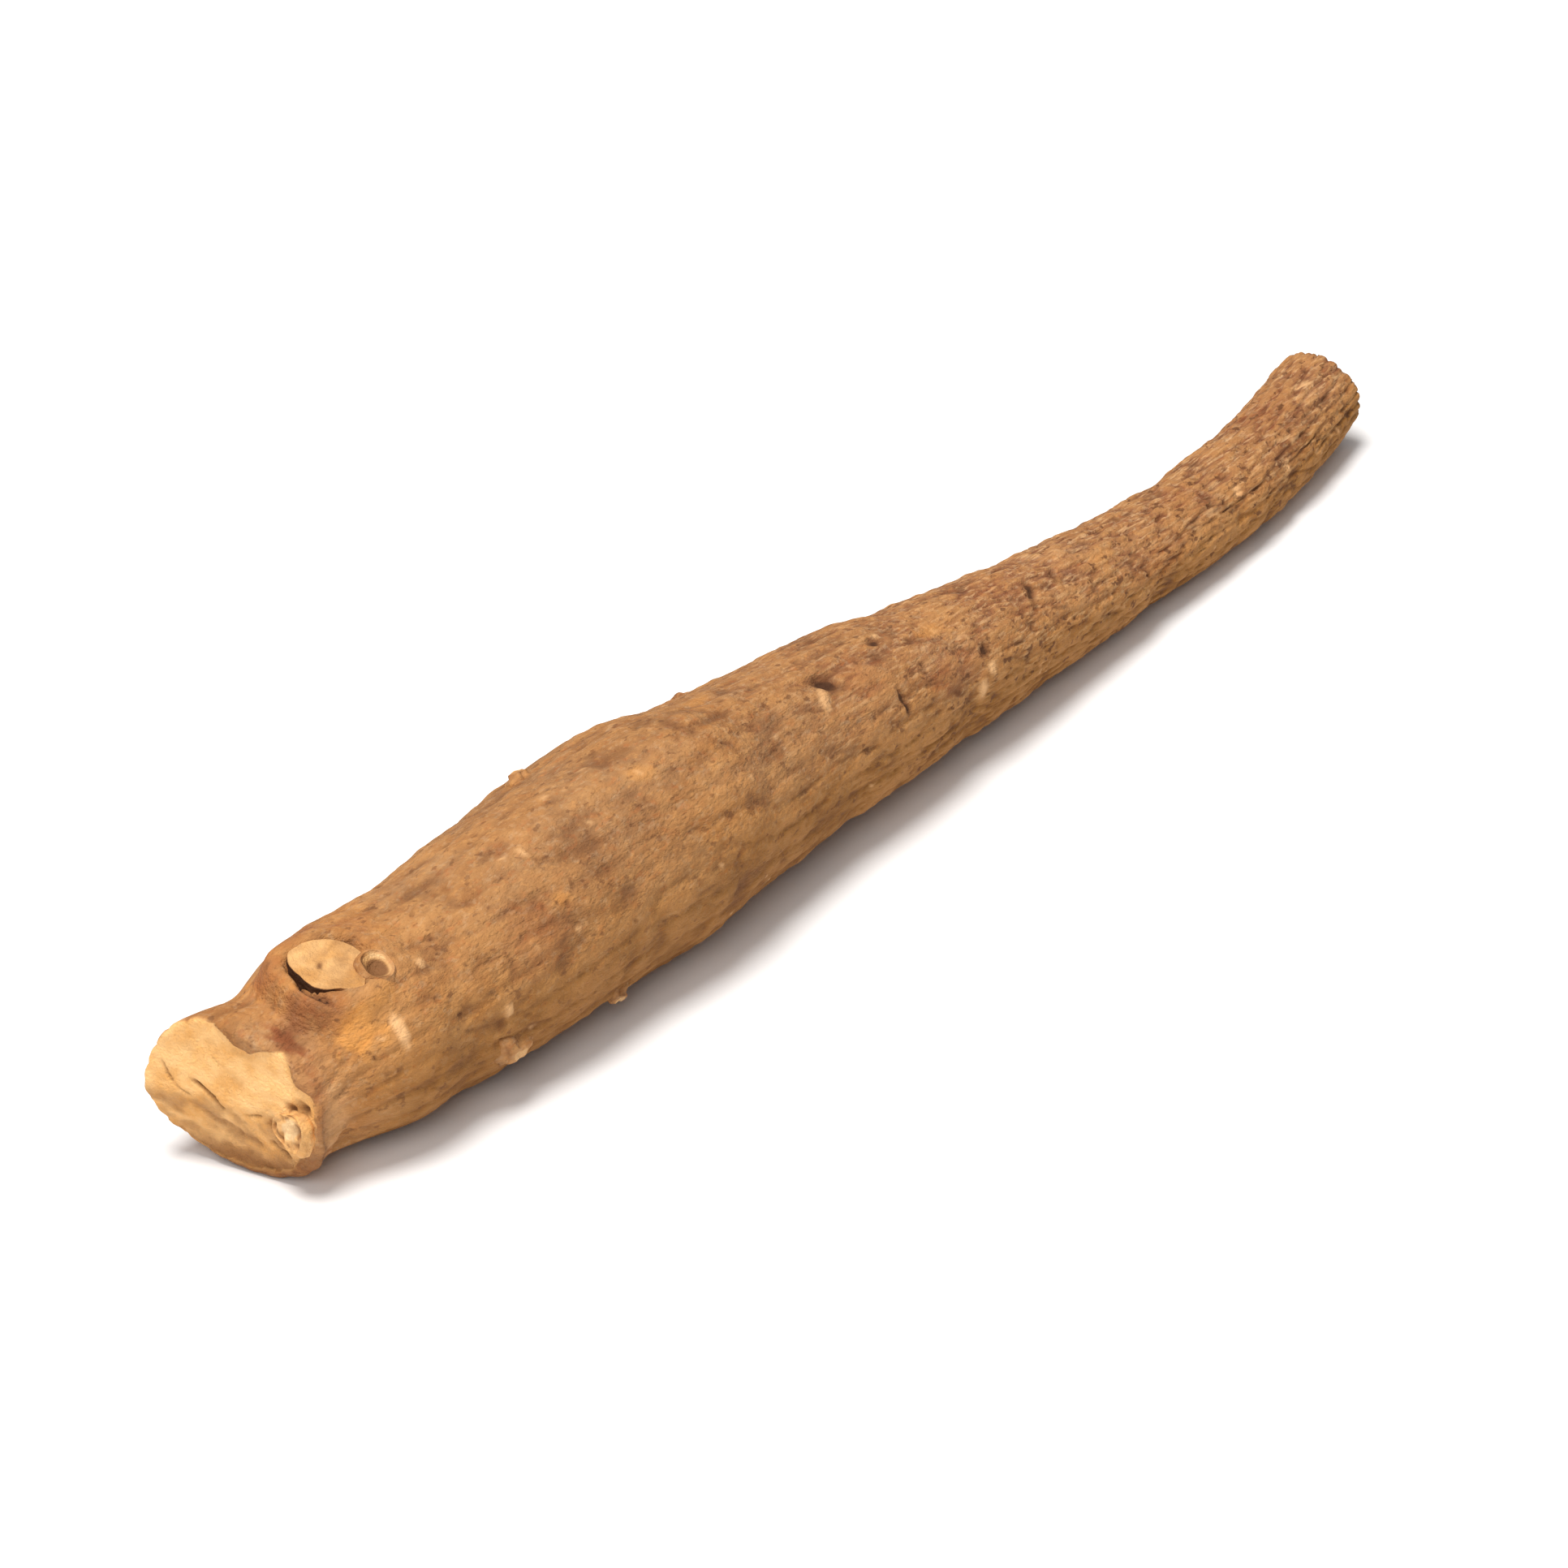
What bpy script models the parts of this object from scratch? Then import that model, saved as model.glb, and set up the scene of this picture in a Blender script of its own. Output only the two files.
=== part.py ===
"""One dried ashwagandha root, cut off at the crown and at the tail, lying on its side.

The root lies along X. Its cut crown is at -X, its thin cut tail at +X, and Z = 0 is the
surface that it rests on. Lengths are in millimetres until the mesh is made, in metres.
Angles round the root are in degrees: 0 is its +Y side, 90 its top and 180 its -Y side.
Distances along the root are taken from the crown's cut face.
"""

import math

import bmesh
import bpy
import numpy as np

# Overall size
MM = 0.001
ROOT_LENGTH = 144.0
MIDDLE_X = 71.44  # from the crown's cut face to the middle of the root
MIDDLE_Y = -2.665  # from the centre of the crown to the middle of the root's width
SETTLE = 0.4  # how much of the underside is worn flat where it rests

# The root's run: distance along it, sideways wander, gap below it, half-width
STATIONS = np.array([
    (-4.0, -0.2, 0.9, 6.2),
    (0.0, -0.3, 0.8, 6.2),
    (4.0, -0.9, 0.7, 6.2),
    (10.0, -1.7, 0.3, 7.7),
    (18.0, -2.3, 0.1, 7.9),
    (27.0, -2.7, 0.0, 8.5),
    (36.0, -2.6, 0.0, 8.8),
    (44.0, -2.9, 0.0, 9.1),
    (54.0, -3.0, 0.5, 8.0),
    (68.0, -3.4, 1.0, 7.1),
    (84.0, -4.0, 1.1, 5.7),
    (99.0, -3.9, 0.7, 4.7),
    (112.0, -3.6, 0.2, 4.1),
    (128.0, -2.9, 0.1, 3.9),
    (144.0, -0.2, 0.9, 3.7),
    (148.0, 0.8, 1.1, 3.7),
])
SLOPE_STEP = 0.5  # step over which the direction of the run is taken

# How finely the skin is cut into faces: start, end and step of the rings along it
SIDES = 52
RING_STEPS = [(0.0, 30.0, 1.3), (30.0, 110.0, 2.0), (110.0, 144.0, 1.6)]
FACE_RINGS = 4  # rings on each cut face, out to its rounded edge
EDGE_ROUND = 0.35

# Broad swellings: waves round the root, height, waves along it, phase round it, phase along it
LUMPS = [(2, 0.32, 0.65, 3.4, 4.6), (3, 0.22, 1.05, 5.1, 0.6), (4, 0.14, 1.7, 0.5, 2.9),
         (5, 0.10, 2.4, 2.2, 5.2)]
LUMPS_FADE = 0.4  # how much lower they are at the tail, as a share

# Furrows along the root: one set for each count of waves round it
FURROW_COUNTS = range(8, 16)
FURROW_DEPTH_CROWN = 0.14
FURROW_DEPTH_TAIL = 0.26
FURROW_RIDGE = 0.62  # height of the ridges between furrows, as a share of the depth
FURROW_WIDTH = 0.55  # smaller is narrower
FURROW_SWAYS = [(0.9, 23.0), (0.8, 8.0)]  # sway to either side in radians, and its length
FURROW_SEED = 12

# Rings where the root draws in: distance, depth, width, angle where it is deepest
RINGS = [(15.0, 0.30, 1.6, 150.0), (49.5, 0.28, 2.4, 60.0), (63.0, 0.24, 2.0, 200.0),
         (77.5, 0.30, 2.2, 120.0), (93.0, 0.24, 2.0, 10.0), (107.0, 0.24, 1.8, 160.0),
         (119.0, 0.26, 1.8, 80.0), (131.0, 0.20, 2.0, 230.0)]
RING_LEAN = 1.5  # how far a ring leans along the root a quarter turn from its deepest place
RING_FAINTEST = 0.25  # share of its depth on the far side

# The crown's cut face slants and is broken back below a crease, and its edge swells in two places
FACE_SLANT = 0.32  # how far it stands out for each mm towards the +Y side
CREASE_HEIGHT = -0.4  # from the middle of the face
BREAK_SLOPE = 0.30
EDGE_REACH = 8.0  # how far along the skin the slant and the break are felt
LIPS = [(0.7, 2.2, 225.0), (0.8, 3.0, 5.0)]  # swell, length along the skin, angle

# A knot in the broken half of the face: sideways and upwards place, half-width, height
KNOT = (-4.2, -0.9, 1.5, 0.5)

# Side roots cut off short: distance, angle, half-width, height, lean towards the tail
KNOB = (8.8, 98.0, 3.05, 0.40, 4.0)
SCAR = (11.3, 119.5, 0.9, 0.4, 10.0)
ROOTLETS = [(20.0, 200.0, 1.00, 0.5, 0.0), (32.0, 215.0, 0.55, 0.5, -15.0),
            (36.5, 52.0, 0.60, 0.5, 10.0), (59.0, 20.0, 0.70, 0.8, 25.0),
            (71.0, 304.0, 0.50, 0.5, -10.0), (88.0, 350.0, 0.55, 0.8, 20.0),
            (23.0, 342.0, 0.80, 0.9, -20.0)]
# The skin rises round the knob towards the plane of its cut
MOUND_TOP = 0.55  # swell of the skin in the middle of the knob
MOUND_MOST = 1.5  # the most that the skin rises beside it
MOUND_REACH = 0.42  # how far it is felt beyond the knob, as a share of its half-width
MOUND_WRAP = 0.5  # the cosine at which the plane is followed no further round the root

STUB_SIDES = 14
STUB_SUNK = 1.6  # how deep a stub's foot goes into the root
STUB_PROFILE = [(0.0, 1.18), (0.6, 1.0), (1.0, 0.94)]  # rise and width, as shares
SHARP_ANGLE = 35.0

BARK_COLOUR = (0.42, 0.20, 0.08, 1.0)
BARK_ROUGHNESS = 0.85


def through(column, x):
    """A smooth curve through one column of the stations: cubic, with mean slopes."""
    at, value = STATIONS[:, 0], STATIONS[:, column]
    slope = np.gradient(value, at)
    i = np.clip(np.searchsorted(at, x) - 1, 0, len(at) - 2)
    span = at[i + 1] - at[i]
    t = (x - at[i]) / span
    return (value[i] * (1 + 2 * t) * (1 - t) ** 2 + value[i + 1] * t * t * (3 - 2 * t)
            + span * (slope[i] * t * (1 - t) ** 2 - slope[i + 1] * t * t * (1 - t)))


def run(x):
    """Middle of the root at x."""
    return np.stack([x, through(1, x), through(2, x) + through(3, x) - SETTLE], -1)


def spine(x):
    """Middle of the root at x, and the directions along it, to its side and up."""
    centre = run(x)
    along = run(x + SLOPE_STEP) - centre
    along /= np.linalg.norm(along, axis=-1, keepdims=True)
    side = np.cross([0.0, 0.0, 1.0], along)
    side /= np.linalg.norm(side, axis=-1, keepdims=True)
    return centre, along, side, np.cross(along, side)


def lumps(x, angle):
    """Broad swellings: a few slow waves round and along the root."""
    total = np.zeros_like(x)
    for count, height, waves, phase_round, phase_along in LUMPS:
        swell = np.cos(2 * math.pi * waves * x / ROOT_LENGTH + phase_along)
        total += height * swell * np.sin(count * angle + phase_round)
    return total * (1 - LUMPS_FADE * x / ROOT_LENGTH)


def furrows(x, angle):
    """Narrow valleys along the root between round ridges, each swaying a little."""
    draw = np.random.default_rng(FURROW_SEED)
    waves = np.zeros_like(x)
    for count in FURROW_COUNTS:
        turn = count * angle + draw.uniform(0, 2 * math.pi)
        for sway, length in FURROW_SWAYS:
            bend = np.sin(x / length + draw.uniform(0, 2 * math.pi))
            turn = turn + math.sqrt(count) * sway * bend
        waves += np.sin(turn) / math.sqrt(len(FURROW_COUNTS))
    depth = FURROW_DEPTH_CROWN + (FURROW_DEPTH_TAIL - FURROW_DEPTH_CROWN) * x / ROOT_LENGTH
    return depth * (FURROW_RIDGE - np.exp(-(waves / FURROW_WIDTH) ** 2))


def rings(x, angle):
    """Shallow grooves round the root, a little askew, where it drew in as it dried."""
    total = np.zeros_like(x)
    for at, depth, width, deepest in RINGS:
        turn = angle - math.radians(deepest)
        left = RING_FAINTEST + (1 - RING_FAINTEST) * (1 + np.cos(turn)) / 2
        total -= depth * left * np.exp(-((x - at - RING_LEAN * np.sin(turn)) / width) ** 2)
    return total


def lips(x, angle):
    """Swellings of the skin at the crown's edge, dying away along it."""
    total = np.zeros_like(x)
    for swell, length, where in LIPS:
        facing = np.maximum(0.0, np.cos(angle - math.radians(where)))
        total += swell * facing ** 2 * np.exp(-np.abs(x) / length)
    return total


def bare_width(x, angle):
    """Distance from the root's middle to its skin, without the mound round the knob."""
    return through(3, x) + lumps(x, angle) + lips(x, angle) + furrows(x, angle) + rings(x, angle)


def mound(x, angle):
    """How far the skin rises round the knob, to a plane that leans as its cut does."""
    at, where, half, _, lean = KNOB
    turn = (angle - math.radians(where) + math.pi) % (2 * math.pi) - math.pi
    beyond = np.maximum(0.0, np.hypot(x - at, through(3, x) * turn) / half - 1)
    level = bare_width(np.array(at), np.array(math.radians(where))) + MOUND_TOP
    plane = level - (x - at) * math.tan(math.radians(lean))
    rise = plane / np.maximum(MOUND_WRAP, np.cos(turn)) - bare_width(x, angle)
    return np.clip(rise, 0.0, MOUND_MOST) * np.exp(-(beyond / MOUND_REACH) ** 2)


def half_width(x, angle):
    """Distance from the root's middle to its skin."""
    return bare_width(x, angle) + mound(x, angle)


def set_back(sideways, upwards, x):
    """How far the crown's cut face lies back from a straight cut, fading along the skin."""
    below = np.maximum(0.0, CREASE_HEIGHT - upwards)
    fade = np.maximum(0.0, 1 - x / EDGE_REACH) ** 2
    return (BREAK_SLOPE * below - FACE_SLANT * sideways) * fade


def skin(x, angle, share=1.0):
    """Points of the root at x and angle: share 0 is its middle and 1 its skin."""
    reach = half_width(x, angle) * share
    sideways, upwards = reach * np.cos(angle), reach * np.sin(angle)
    centre, _, side, up = spine(x + set_back(sideways, upwards, x))
    points = centre + sideways[..., None] * side + upwards[..., None] * up
    points[..., 2] = np.maximum(points[..., 2], 0.0)
    return points


def placed(point):
    """A point in metres, with the origin below the middle of the root."""
    return (point - (MIDDLE_X, MIDDLE_Y, 0.0)) * MM


def ring_places():
    """(distance along the root, share of the half-width) of each ring, crown to tail."""
    shares = [n / FACE_RINGS for n in range(1, FACE_RINGS)]
    crown_edge = 1 - EDGE_ROUND / through(3, 0.0)
    tail_edge = 1 - EDGE_ROUND / through(3, ROOT_LENGTH)
    places = [(0.0, share * crown_edge) for share in shares + [1.0]]
    for start, end, step in RING_STEPS:
        count = round((end - start) / step)
        places += [(start + (end - start) * n / count, 1.0) for n in range(count)]
    places[FACE_RINGS] = (EDGE_ROUND, 1.0)
    places.append((ROOT_LENGTH - EDGE_ROUND, 1.0))
    return places + [(ROOT_LENGTH, share * tail_edge) for share in [1.0] + shares[::-1]]


def bridge(mesh, loops):
    """Faces between each ring of points and the next."""
    for near, far in zip(loops, loops[1:]):
        for k in range(len(near)):
            mesh.faces.new((near[k - 1], near[k], far[k], far[k - 1]))


def root_body():
    """The root's skin and cut faces: rings bridged one to the next, and a point at each end."""
    mesh = bmesh.new()
    angles = np.radians(np.arange(SIDES) * 360.0 / SIDES)
    loops = []
    for x, share in ring_places():
        points = placed(skin(np.full(SIDES, x), angles, share))
        loops.append([mesh.verts.new(point) for point in points])
    bridge(mesh, loops)
    for loop, x in ((loops[0], 0.0), (loops[-1], ROOT_LENGTH)):
        tip = mesh.verts.new(placed(run(np.array(x))))
        for k in range(SIDES):
            mesh.faces.new((tip, loop[k - 1], loop[k]))
    return new_object("root", mesh)


def stub(name, base, out, level, half, height):
    """A round stub from a sunken foot at base, pointing out and narrowing to a flat end."""
    mesh = bmesh.new()
    across = np.cross(out, level)
    across /= np.linalg.norm(across)
    level = np.cross(across, out)
    turns = np.radians(np.arange(STUB_SIDES) * 360.0 / STUB_SIDES)[:, None]
    loops = []
    for rise, width in [(-STUB_SUNK / height, STUB_PROFILE[0][1])] + STUB_PROFILE:
        ring = half * width * (np.cos(turns) * level + np.sin(turns) * across)
        loops.append([mesh.verts.new(placed(point)) for point in base + rise * height * out + ring])
    bridge(mesh, loops)
    mesh.faces.new(loops[0])
    mesh.faces.new(loops[-1])
    return new_object(name, mesh)


def side_root(name, at, angle, half, height, lean):
    """A side root cut off short, standing on the skin and leaning a little along the root."""
    here, angle, lean = np.array(at), np.array(math.radians(angle)), math.radians(lean)
    _, along, side, up = spine(here)
    out = math.cos(angle) * side + math.sin(angle) * up
    out = math.cos(lean) * out + math.sin(lean) * along
    return stub(name, skin(here, angle), out, along, half, height)


def knot(sideways, upwards, half, height):
    """A knot of wood that stands up from the broken half of the crown's cut face."""
    centre, along, side, up = spine(np.array(set_back(sideways, upwards, 0.0)))
    return stub("knot", centre + sideways * side + upwards * up, -along, up, half, height)


def new_object(name, mesh):
    """Puts a finished bmesh in the scene as an object, with its faces turned outwards."""
    bmesh.ops.recalc_face_normals(mesh, faces=mesh.faces)
    data = bpy.data.meshes.new(name)
    mesh.to_mesh(data)
    mesh.free()
    thing = bpy.data.objects.new(name, data)
    bpy.context.scene.collection.objects.link(thing)
    return thing


def join(body, stubs):
    """Makes the root and its stubs one closed body, with a Boolean union on their collection."""
    group = bpy.data.collections.new("stubs")
    bpy.context.scene.collection.children.link(group)
    for thing in stubs:
        bpy.context.scene.collection.objects.unlink(thing)
        group.objects.link(thing)
    union = body.modifiers.new("grown_together", "BOOLEAN")
    union.operation = "UNION"
    union.operand_type = "COLLECTION"
    union.collection = group
    bpy.context.view_layer.objects.active = body
    bpy.ops.object.modifier_apply(modifier=union.name)
    for thing in stubs:
        bpy.data.objects.remove(thing)
    bpy.data.collections.remove(group)


def bark_material():
    """Dull brown bark."""
    material = bpy.data.materials.new("bark")
    material.use_nodes = True
    shader = material.node_tree.nodes["Principled BSDF"]
    shader.inputs["Base Color"].default_value = BARK_COLOUR
    shader.inputs["Roughness"].default_value = BARK_ROUGHNESS
    shader.inputs["Metallic"].default_value = 0.0
    return material


def main():
    for thing in list(bpy.data.objects):
        bpy.data.objects.remove(thing)
    body = root_body()
    stubs = [side_root("knob", *KNOB), side_root("scar", *SCAR), knot(*KNOT)]
    stubs += [side_root(f"rootlet_{n}", *place) for n, place in enumerate(ROOTLETS)]
    join(body, stubs)
    body.data.materials.append(bark_material())
    body.data.shade_smooth()
    body.data.set_sharp_from_angle(angle=math.radians(SHARP_ANGLE))


main()
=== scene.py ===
# Dried ashwagandha root: the looks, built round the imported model.
# Lengths are in millimetres until a mesh is made. Distances run from the crown's cut to the tail,
# and angles go round the root: 0 is its +Y side, 90 its top and 180 its -Y side.

import itertools
import math

import bpy
import numpy as np
from mathutils import Matrix, Vector


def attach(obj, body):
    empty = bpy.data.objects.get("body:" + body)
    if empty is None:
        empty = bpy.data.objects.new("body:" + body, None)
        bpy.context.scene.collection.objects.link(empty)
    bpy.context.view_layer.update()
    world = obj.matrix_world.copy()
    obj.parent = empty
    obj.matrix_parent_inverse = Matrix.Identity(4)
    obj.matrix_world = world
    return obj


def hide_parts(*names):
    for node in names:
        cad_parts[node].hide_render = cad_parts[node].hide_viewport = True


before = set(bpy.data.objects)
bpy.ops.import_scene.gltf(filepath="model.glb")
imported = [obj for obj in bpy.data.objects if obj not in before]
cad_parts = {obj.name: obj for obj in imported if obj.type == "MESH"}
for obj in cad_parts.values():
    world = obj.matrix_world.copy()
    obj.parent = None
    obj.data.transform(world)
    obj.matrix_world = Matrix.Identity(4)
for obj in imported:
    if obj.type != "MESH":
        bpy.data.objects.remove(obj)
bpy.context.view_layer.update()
print("frame loaded")

mm = 0.001

# The root's run and its broad form, as the solid has them
run = {
    "length": 144,
    "middle": (71.44, -2.665, 0),
    "settle": 0.4,
    "slopeStep": 0.5,
    # distance, sideways wander, gap below it, half-width
    "stations": np.array([
        (-4, -0.2, 0.9, 6.2), (0, -0.3, 0.8, 6.2), (4, -0.9, 0.7, 6.2), (10, -1.7, 0.3, 7.7),
        (18, -2.3, 0.1, 7.9), (27, -2.7, 0, 8.5), (36, -2.6, 0, 8.8), (44, -2.9, 0, 9.1),
        (54, -3, 0.5, 8), (68, -3.4, 1, 7.1), (84, -4, 1.1, 5.7), (99, -3.9, 0.7, 4.7),
        (112, -3.6, 0.2, 4.1), (128, -2.9, 0.1, 3.9), (144, -0.2, 0.9, 3.7), (148, 0.8, 1.1, 3.7)]),
    # waves round, height, waves along, phase round, phase along
    "lumps": [(2, 0.32, 0.65, 3.4, 4.6), (3, 0.22, 1.05, 5.1, 0.6), (4, 0.14, 1.7, 0.5, 2.9),
              (5, 0.1, 2.4, 2.2, 5.2)],
    "lumpsFade": 0.4,
    "furrowCounts": range(8, 16),
    "furrowDepths": (0.14, 0.26),  # at the crown, at the tail
    "furrowRidge": 0.62,
    "furrowWidth": 0.55,
    "furrowSways": [(0.9, 23), (0.8, 8)],
    "furrowSeed": 12,
    # distance, depth, width, angle where the ring is deepest
    "rings": [(15, 0.3, 1.6, 150), (49.5, 0.28, 2.4, 60), (63, 0.24, 2, 200),
              (77.5, 0.3, 2.2, 120), (93, 0.24, 2, 10), (107, 0.24, 1.8, 160),
              (119, 0.26, 1.8, 80), (131, 0.2, 2, 230)],
    "ringLean": 1.5,
    "ringFaintest": 0.25,
    "faceSlant": 0.32,
    "creaseHeight": -0.4,
    "breakSlope": 0.3,
    "edgeReach": 8,
    "lips": [(0.7, 2.2, 225), (0.8, 3, 5)],  # swell, length, angle
    # the skin's rise round the knob: in its middle, the most beside it, reach as a share of the knob, and
    # the cosine at which its plane is followed no further round
    "mound": (0.55, 1.5, 0.42, 0.5),
}

# Side roots cut off short: distance, angle, half-width, height, lean towards the tail
stubs = {
    "knob": (8.8, 98, 3.05, 0.4, 4),
    # the cut's reach in each direction, as a share of its half-width: rounded, with a point on one side
    "knobEdge": [(-157, 0.86), (-116, 0.85), (-97, 1.02), (-86, 1.14), (-76, 1.01), (-66, 0.93), (-26, 0.9),
                 (-5, 0.86), (47, 0.85), (85, 0.91), (112, 0.97), (135, 0.88), (167, 0.76), (187, 0.79)],
    # cracks at the knob's foot: two ends (along, round), half-width
    "knobCracks": [((-2.36, 0.25), (-2.62, -1.3), 0.13), ((-2.62, -1.2), (-1.95, -2.9), 0.17)],
    "scar": (10.3, 115.5, 1.25, 0.25, 5),
    "rootlets": [(20, 200, 1.00, 0.5, 0), (32, 215, 0.55, 0.5, -15), (36.5, 52, 0.6, 0.5, 10),
                 (59, 20, 0.7, 0.8, 25), (71, 304, 0.5, 0.5, -10), (88, 350, 0.55, 0.8, 20),
                 (23, 342, 0.8, 0.9, -20)],
    "knot": (-4.2, -0.9, 1.5, 0.5),  # sideways and upwards on the crown's cut, half-width, height
    "sunk": 1.6,
}


def through(column, x):
    # cubic curve through one column of the stations, with the mean slope at each
    at, value = run["stations"][:, 0], run["stations"][:, column]
    slope = np.gradient(value, at)
    i = np.clip(np.searchsorted(at, x) - 1, 0, len(at) - 2)
    span = at[i + 1] - at[i]
    t = (x - at[i]) / span
    return (value[i] * (1 + 2 * t) * (1 - t) ** 2 + value[i + 1] * t * t * (3 - 2 * t)
            + span * (slope[i] * t * (1 - t) ** 2 - slope[i + 1] * t * t * (1 - t)))


def centreLine(x):
    # middle of the root: as high as the gap below it and its half-width, less what is worn flat
    return np.stack([x, through(1, x), through(2, x) + through(3, x) - run["settle"]], -1)


def unit(v):
    return v / np.linalg.norm(v, axis=-1, keepdims=True)


def spine(x):
    # middle, and the directions along the root, to its side and up
    centre = centreLine(x)
    along = unit(centreLine(x + run["slopeStep"]) - centre)
    side = unit(np.cross([0, 0, 1], along))
    return centre, along, side, np.cross(along, side)


def lumps(x, angle):
    # sum of a few slow waves round the root, each swelling and sinking along it
    total = np.zeros_like(x)
    for count, height, waves, phaseRound, phaseAlong in run["lumps"]:
        swell = np.cos(2 * math.pi * waves * x / run["length"] + phaseAlong)
        total += height * swell * np.sin(count * angle + phaseRound)
    return total * (1 - run["lumpsFade"] * x / run["length"])


def furrows(x, angle):
    # valleys where a sum of swaying waves round the root passes through zero, with ridges between
    draw = np.random.default_rng(run["furrowSeed"])
    waves = np.zeros_like(x)
    for count in run["furrowCounts"]:
        turn = count * angle + draw.uniform(0, 2 * math.pi)
        for sway, length in run["furrowSways"]:
            bend = np.sin(x / length + draw.uniform(0, 2 * math.pi))
            turn = turn + math.sqrt(count) * sway * bend
        waves += np.sin(turn) / math.sqrt(len(run["furrowCounts"]))
    crown, tail = run["furrowDepths"]
    depth = crown + (tail - crown) * x / run["length"]
    return depth * (run["furrowRidge"] - np.exp(-(waves / run["furrowWidth"]) ** 2))


def rings(x, angle):
    # shallow bell-shaped grooves round the root, leaning, deepest at one angle
    total = np.zeros_like(x)
    for at, depth, width, deepest in run["rings"]:
        turn = angle - math.radians(deepest)
        left = run["ringFaintest"] + (1 - run["ringFaintest"]) * (1 + np.cos(turn)) / 2
        total -= depth * left * np.exp(-((x - at - run["ringLean"] * np.sin(turn)) / width) ** 2)
    return total


def lips(x, angle):
    # swellings at the crown's edge, each on one side and dying away along the skin
    total = np.zeros_like(x)
    for swell, length, where in run["lips"]:
        facing = np.maximum(0, np.cos(angle - math.radians(where)))
        total += swell * facing ** 2 * np.exp(-np.abs(x) / length)
    return total


def apart(angle, centre):
    # the shorter way round from centre, in radians
    return (angle - math.radians(centre) + math.pi) % (2 * math.pi) - math.pi


def fromKnob(x, angle):
    # distance along and round from the knob's middle, each as a share of its half-width
    at, where, half = stubs["knob"][:3]
    return (x - at) / half, -through(3, x) * apart(angle, where) / half


def knobOutline(turn):
    # the cut's reach in each direction, as a share of its half-width
    way, reach = np.array(stubs["knobEdge"]).T
    return np.interp(np.degrees(turn), way, reach, period=360)


def bareWidth(x, angle):
    return through(3, x) + lumps(x, angle) + lips(x, angle) + furrows(x, angle) + rings(x, angle)


def knobPlane(x, angle, lift):
    # distance from the root's middle to a plane that leans as the knob's cut does, at a lift over bare skin
    at, where, _, _, lean = stubs["knob"]
    level = bareWidth(np.array(at), np.array(math.radians(where))) + lift
    wrap = run["mound"][3]
    return (level - (x - at) * math.tan(math.radians(lean))) / np.maximum(wrap, np.cos(apart(angle, where)))


def mound(x, angle):
    # the skin rises round the knob towards the plane of its cut, less and less outside it
    top, most, reach, _ = run["mound"]
    beyond = np.maximum(0, np.hypot(*fromKnob(x, angle)) - 1)
    return np.clip(knobPlane(x, angle, top) - bareWidth(x, angle), 0, most) * np.exp(-(beyond / reach) ** 2)


def halfWidth(x, angle):
    return bareWidth(x, angle) + mound(x, angle)


def setBack(sideways, upwards, x):
    # how far the crown's face lies back: it slants to one side and breaks back below its crease
    below = np.maximum(0, run["creaseHeight"] - upwards)
    fade = np.maximum(0, 1 - x / run["edgeReach"]) ** 2
    return (run["breakSlope"] * below - run["faceSlant"] * sideways) * fade


def metres(points):
    return (points - run["middle"]) * mm


def smooth(low, high, value):
    # 0 below low, 1 above high, and an S-shaped curve between
    t = np.clip((value - low) / (high - low), 0, 1)
    return t * t * (3 - 2 * t)


slopeTable = unit(np.random.default_rng(5).normal(size=(4096, 3)))


def cloud(points, size, seed):
    # smooth noise, about -1 to 1: random slopes at the corners of a grid, eased between them
    place = points / size + seed * 17.31
    corner = np.floor(place).astype(np.int64)
    inside = place - corner
    ease = inside ** 3 * (inside * (inside * 6 - 15) + 10)
    total = np.zeros(points.shape[:-1])
    for step in itertools.product((0, 1), repeat=3):
        c = corner + step
        mixed = c[..., 0] * 73856093 ^ c[..., 1] * 19349663 ^ c[..., 2] * 83492791
        slope = slopeTable[(mixed ^ (mixed >> 13)) & 4095]
        weight = np.prod(np.where(step, ease, 1 - ease), axis=-1)
        total += weight * np.sum(slope * (inside - step), axis=-1)
    return total * 1.6


def placed(name, data):
    # a new object in the scene
    thing = bpy.data.objects.new(name, data)
    bpy.context.scene.collection.objects.link(thing)
    return thing


def newPiece(name, points, faces, layers, material):
    # a mesh from points in millimetres, with one named value per point for each layer
    mesh = bpy.data.meshes.new(name)
    mesh.from_pydata(metres(points), [], faces)
    for layer, value in layers.items():
        held = mesh.attributes.new(layer, "FLOAT", "POINT")
        held.data.foreach_set("value", np.asarray(value, np.float32).ravel())
    mesh.shade_smooth()
    mesh.materials.append(material)
    mesh.validate()
    piece = placed(name, mesh)
    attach(piece, "root")
    print(name, "has", len(mesh.polygons), "faces")
    return piece


def closedGrid(rows, columns, offset=0):
    # faces of a grid that closes round on itself, with one more point at each end, numbered from offset
    row, column = np.meshgrid(np.arange(rows - 1), np.arange(columns), indexing="ij")
    after = (column + 1) % columns
    quads = np.stack([row * columns + column, row * columns + after,
                      (row + 1) * columns + after, (row + 1) * columns + column], -1).reshape(-1, 4)
    k = np.arange(columns)
    first, last = rows * columns, rows * columns + 1
    end = (rows - 1) * columns
    start = np.stack([np.full(columns, first), (k + 1) % columns, k], -1)
    stop = np.stack([np.full(columns, last), end + k, end + (k + 1) % columns], -1)
    return [face for part in (quads, start, stop) for face in (part + offset).tolist()]


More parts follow.
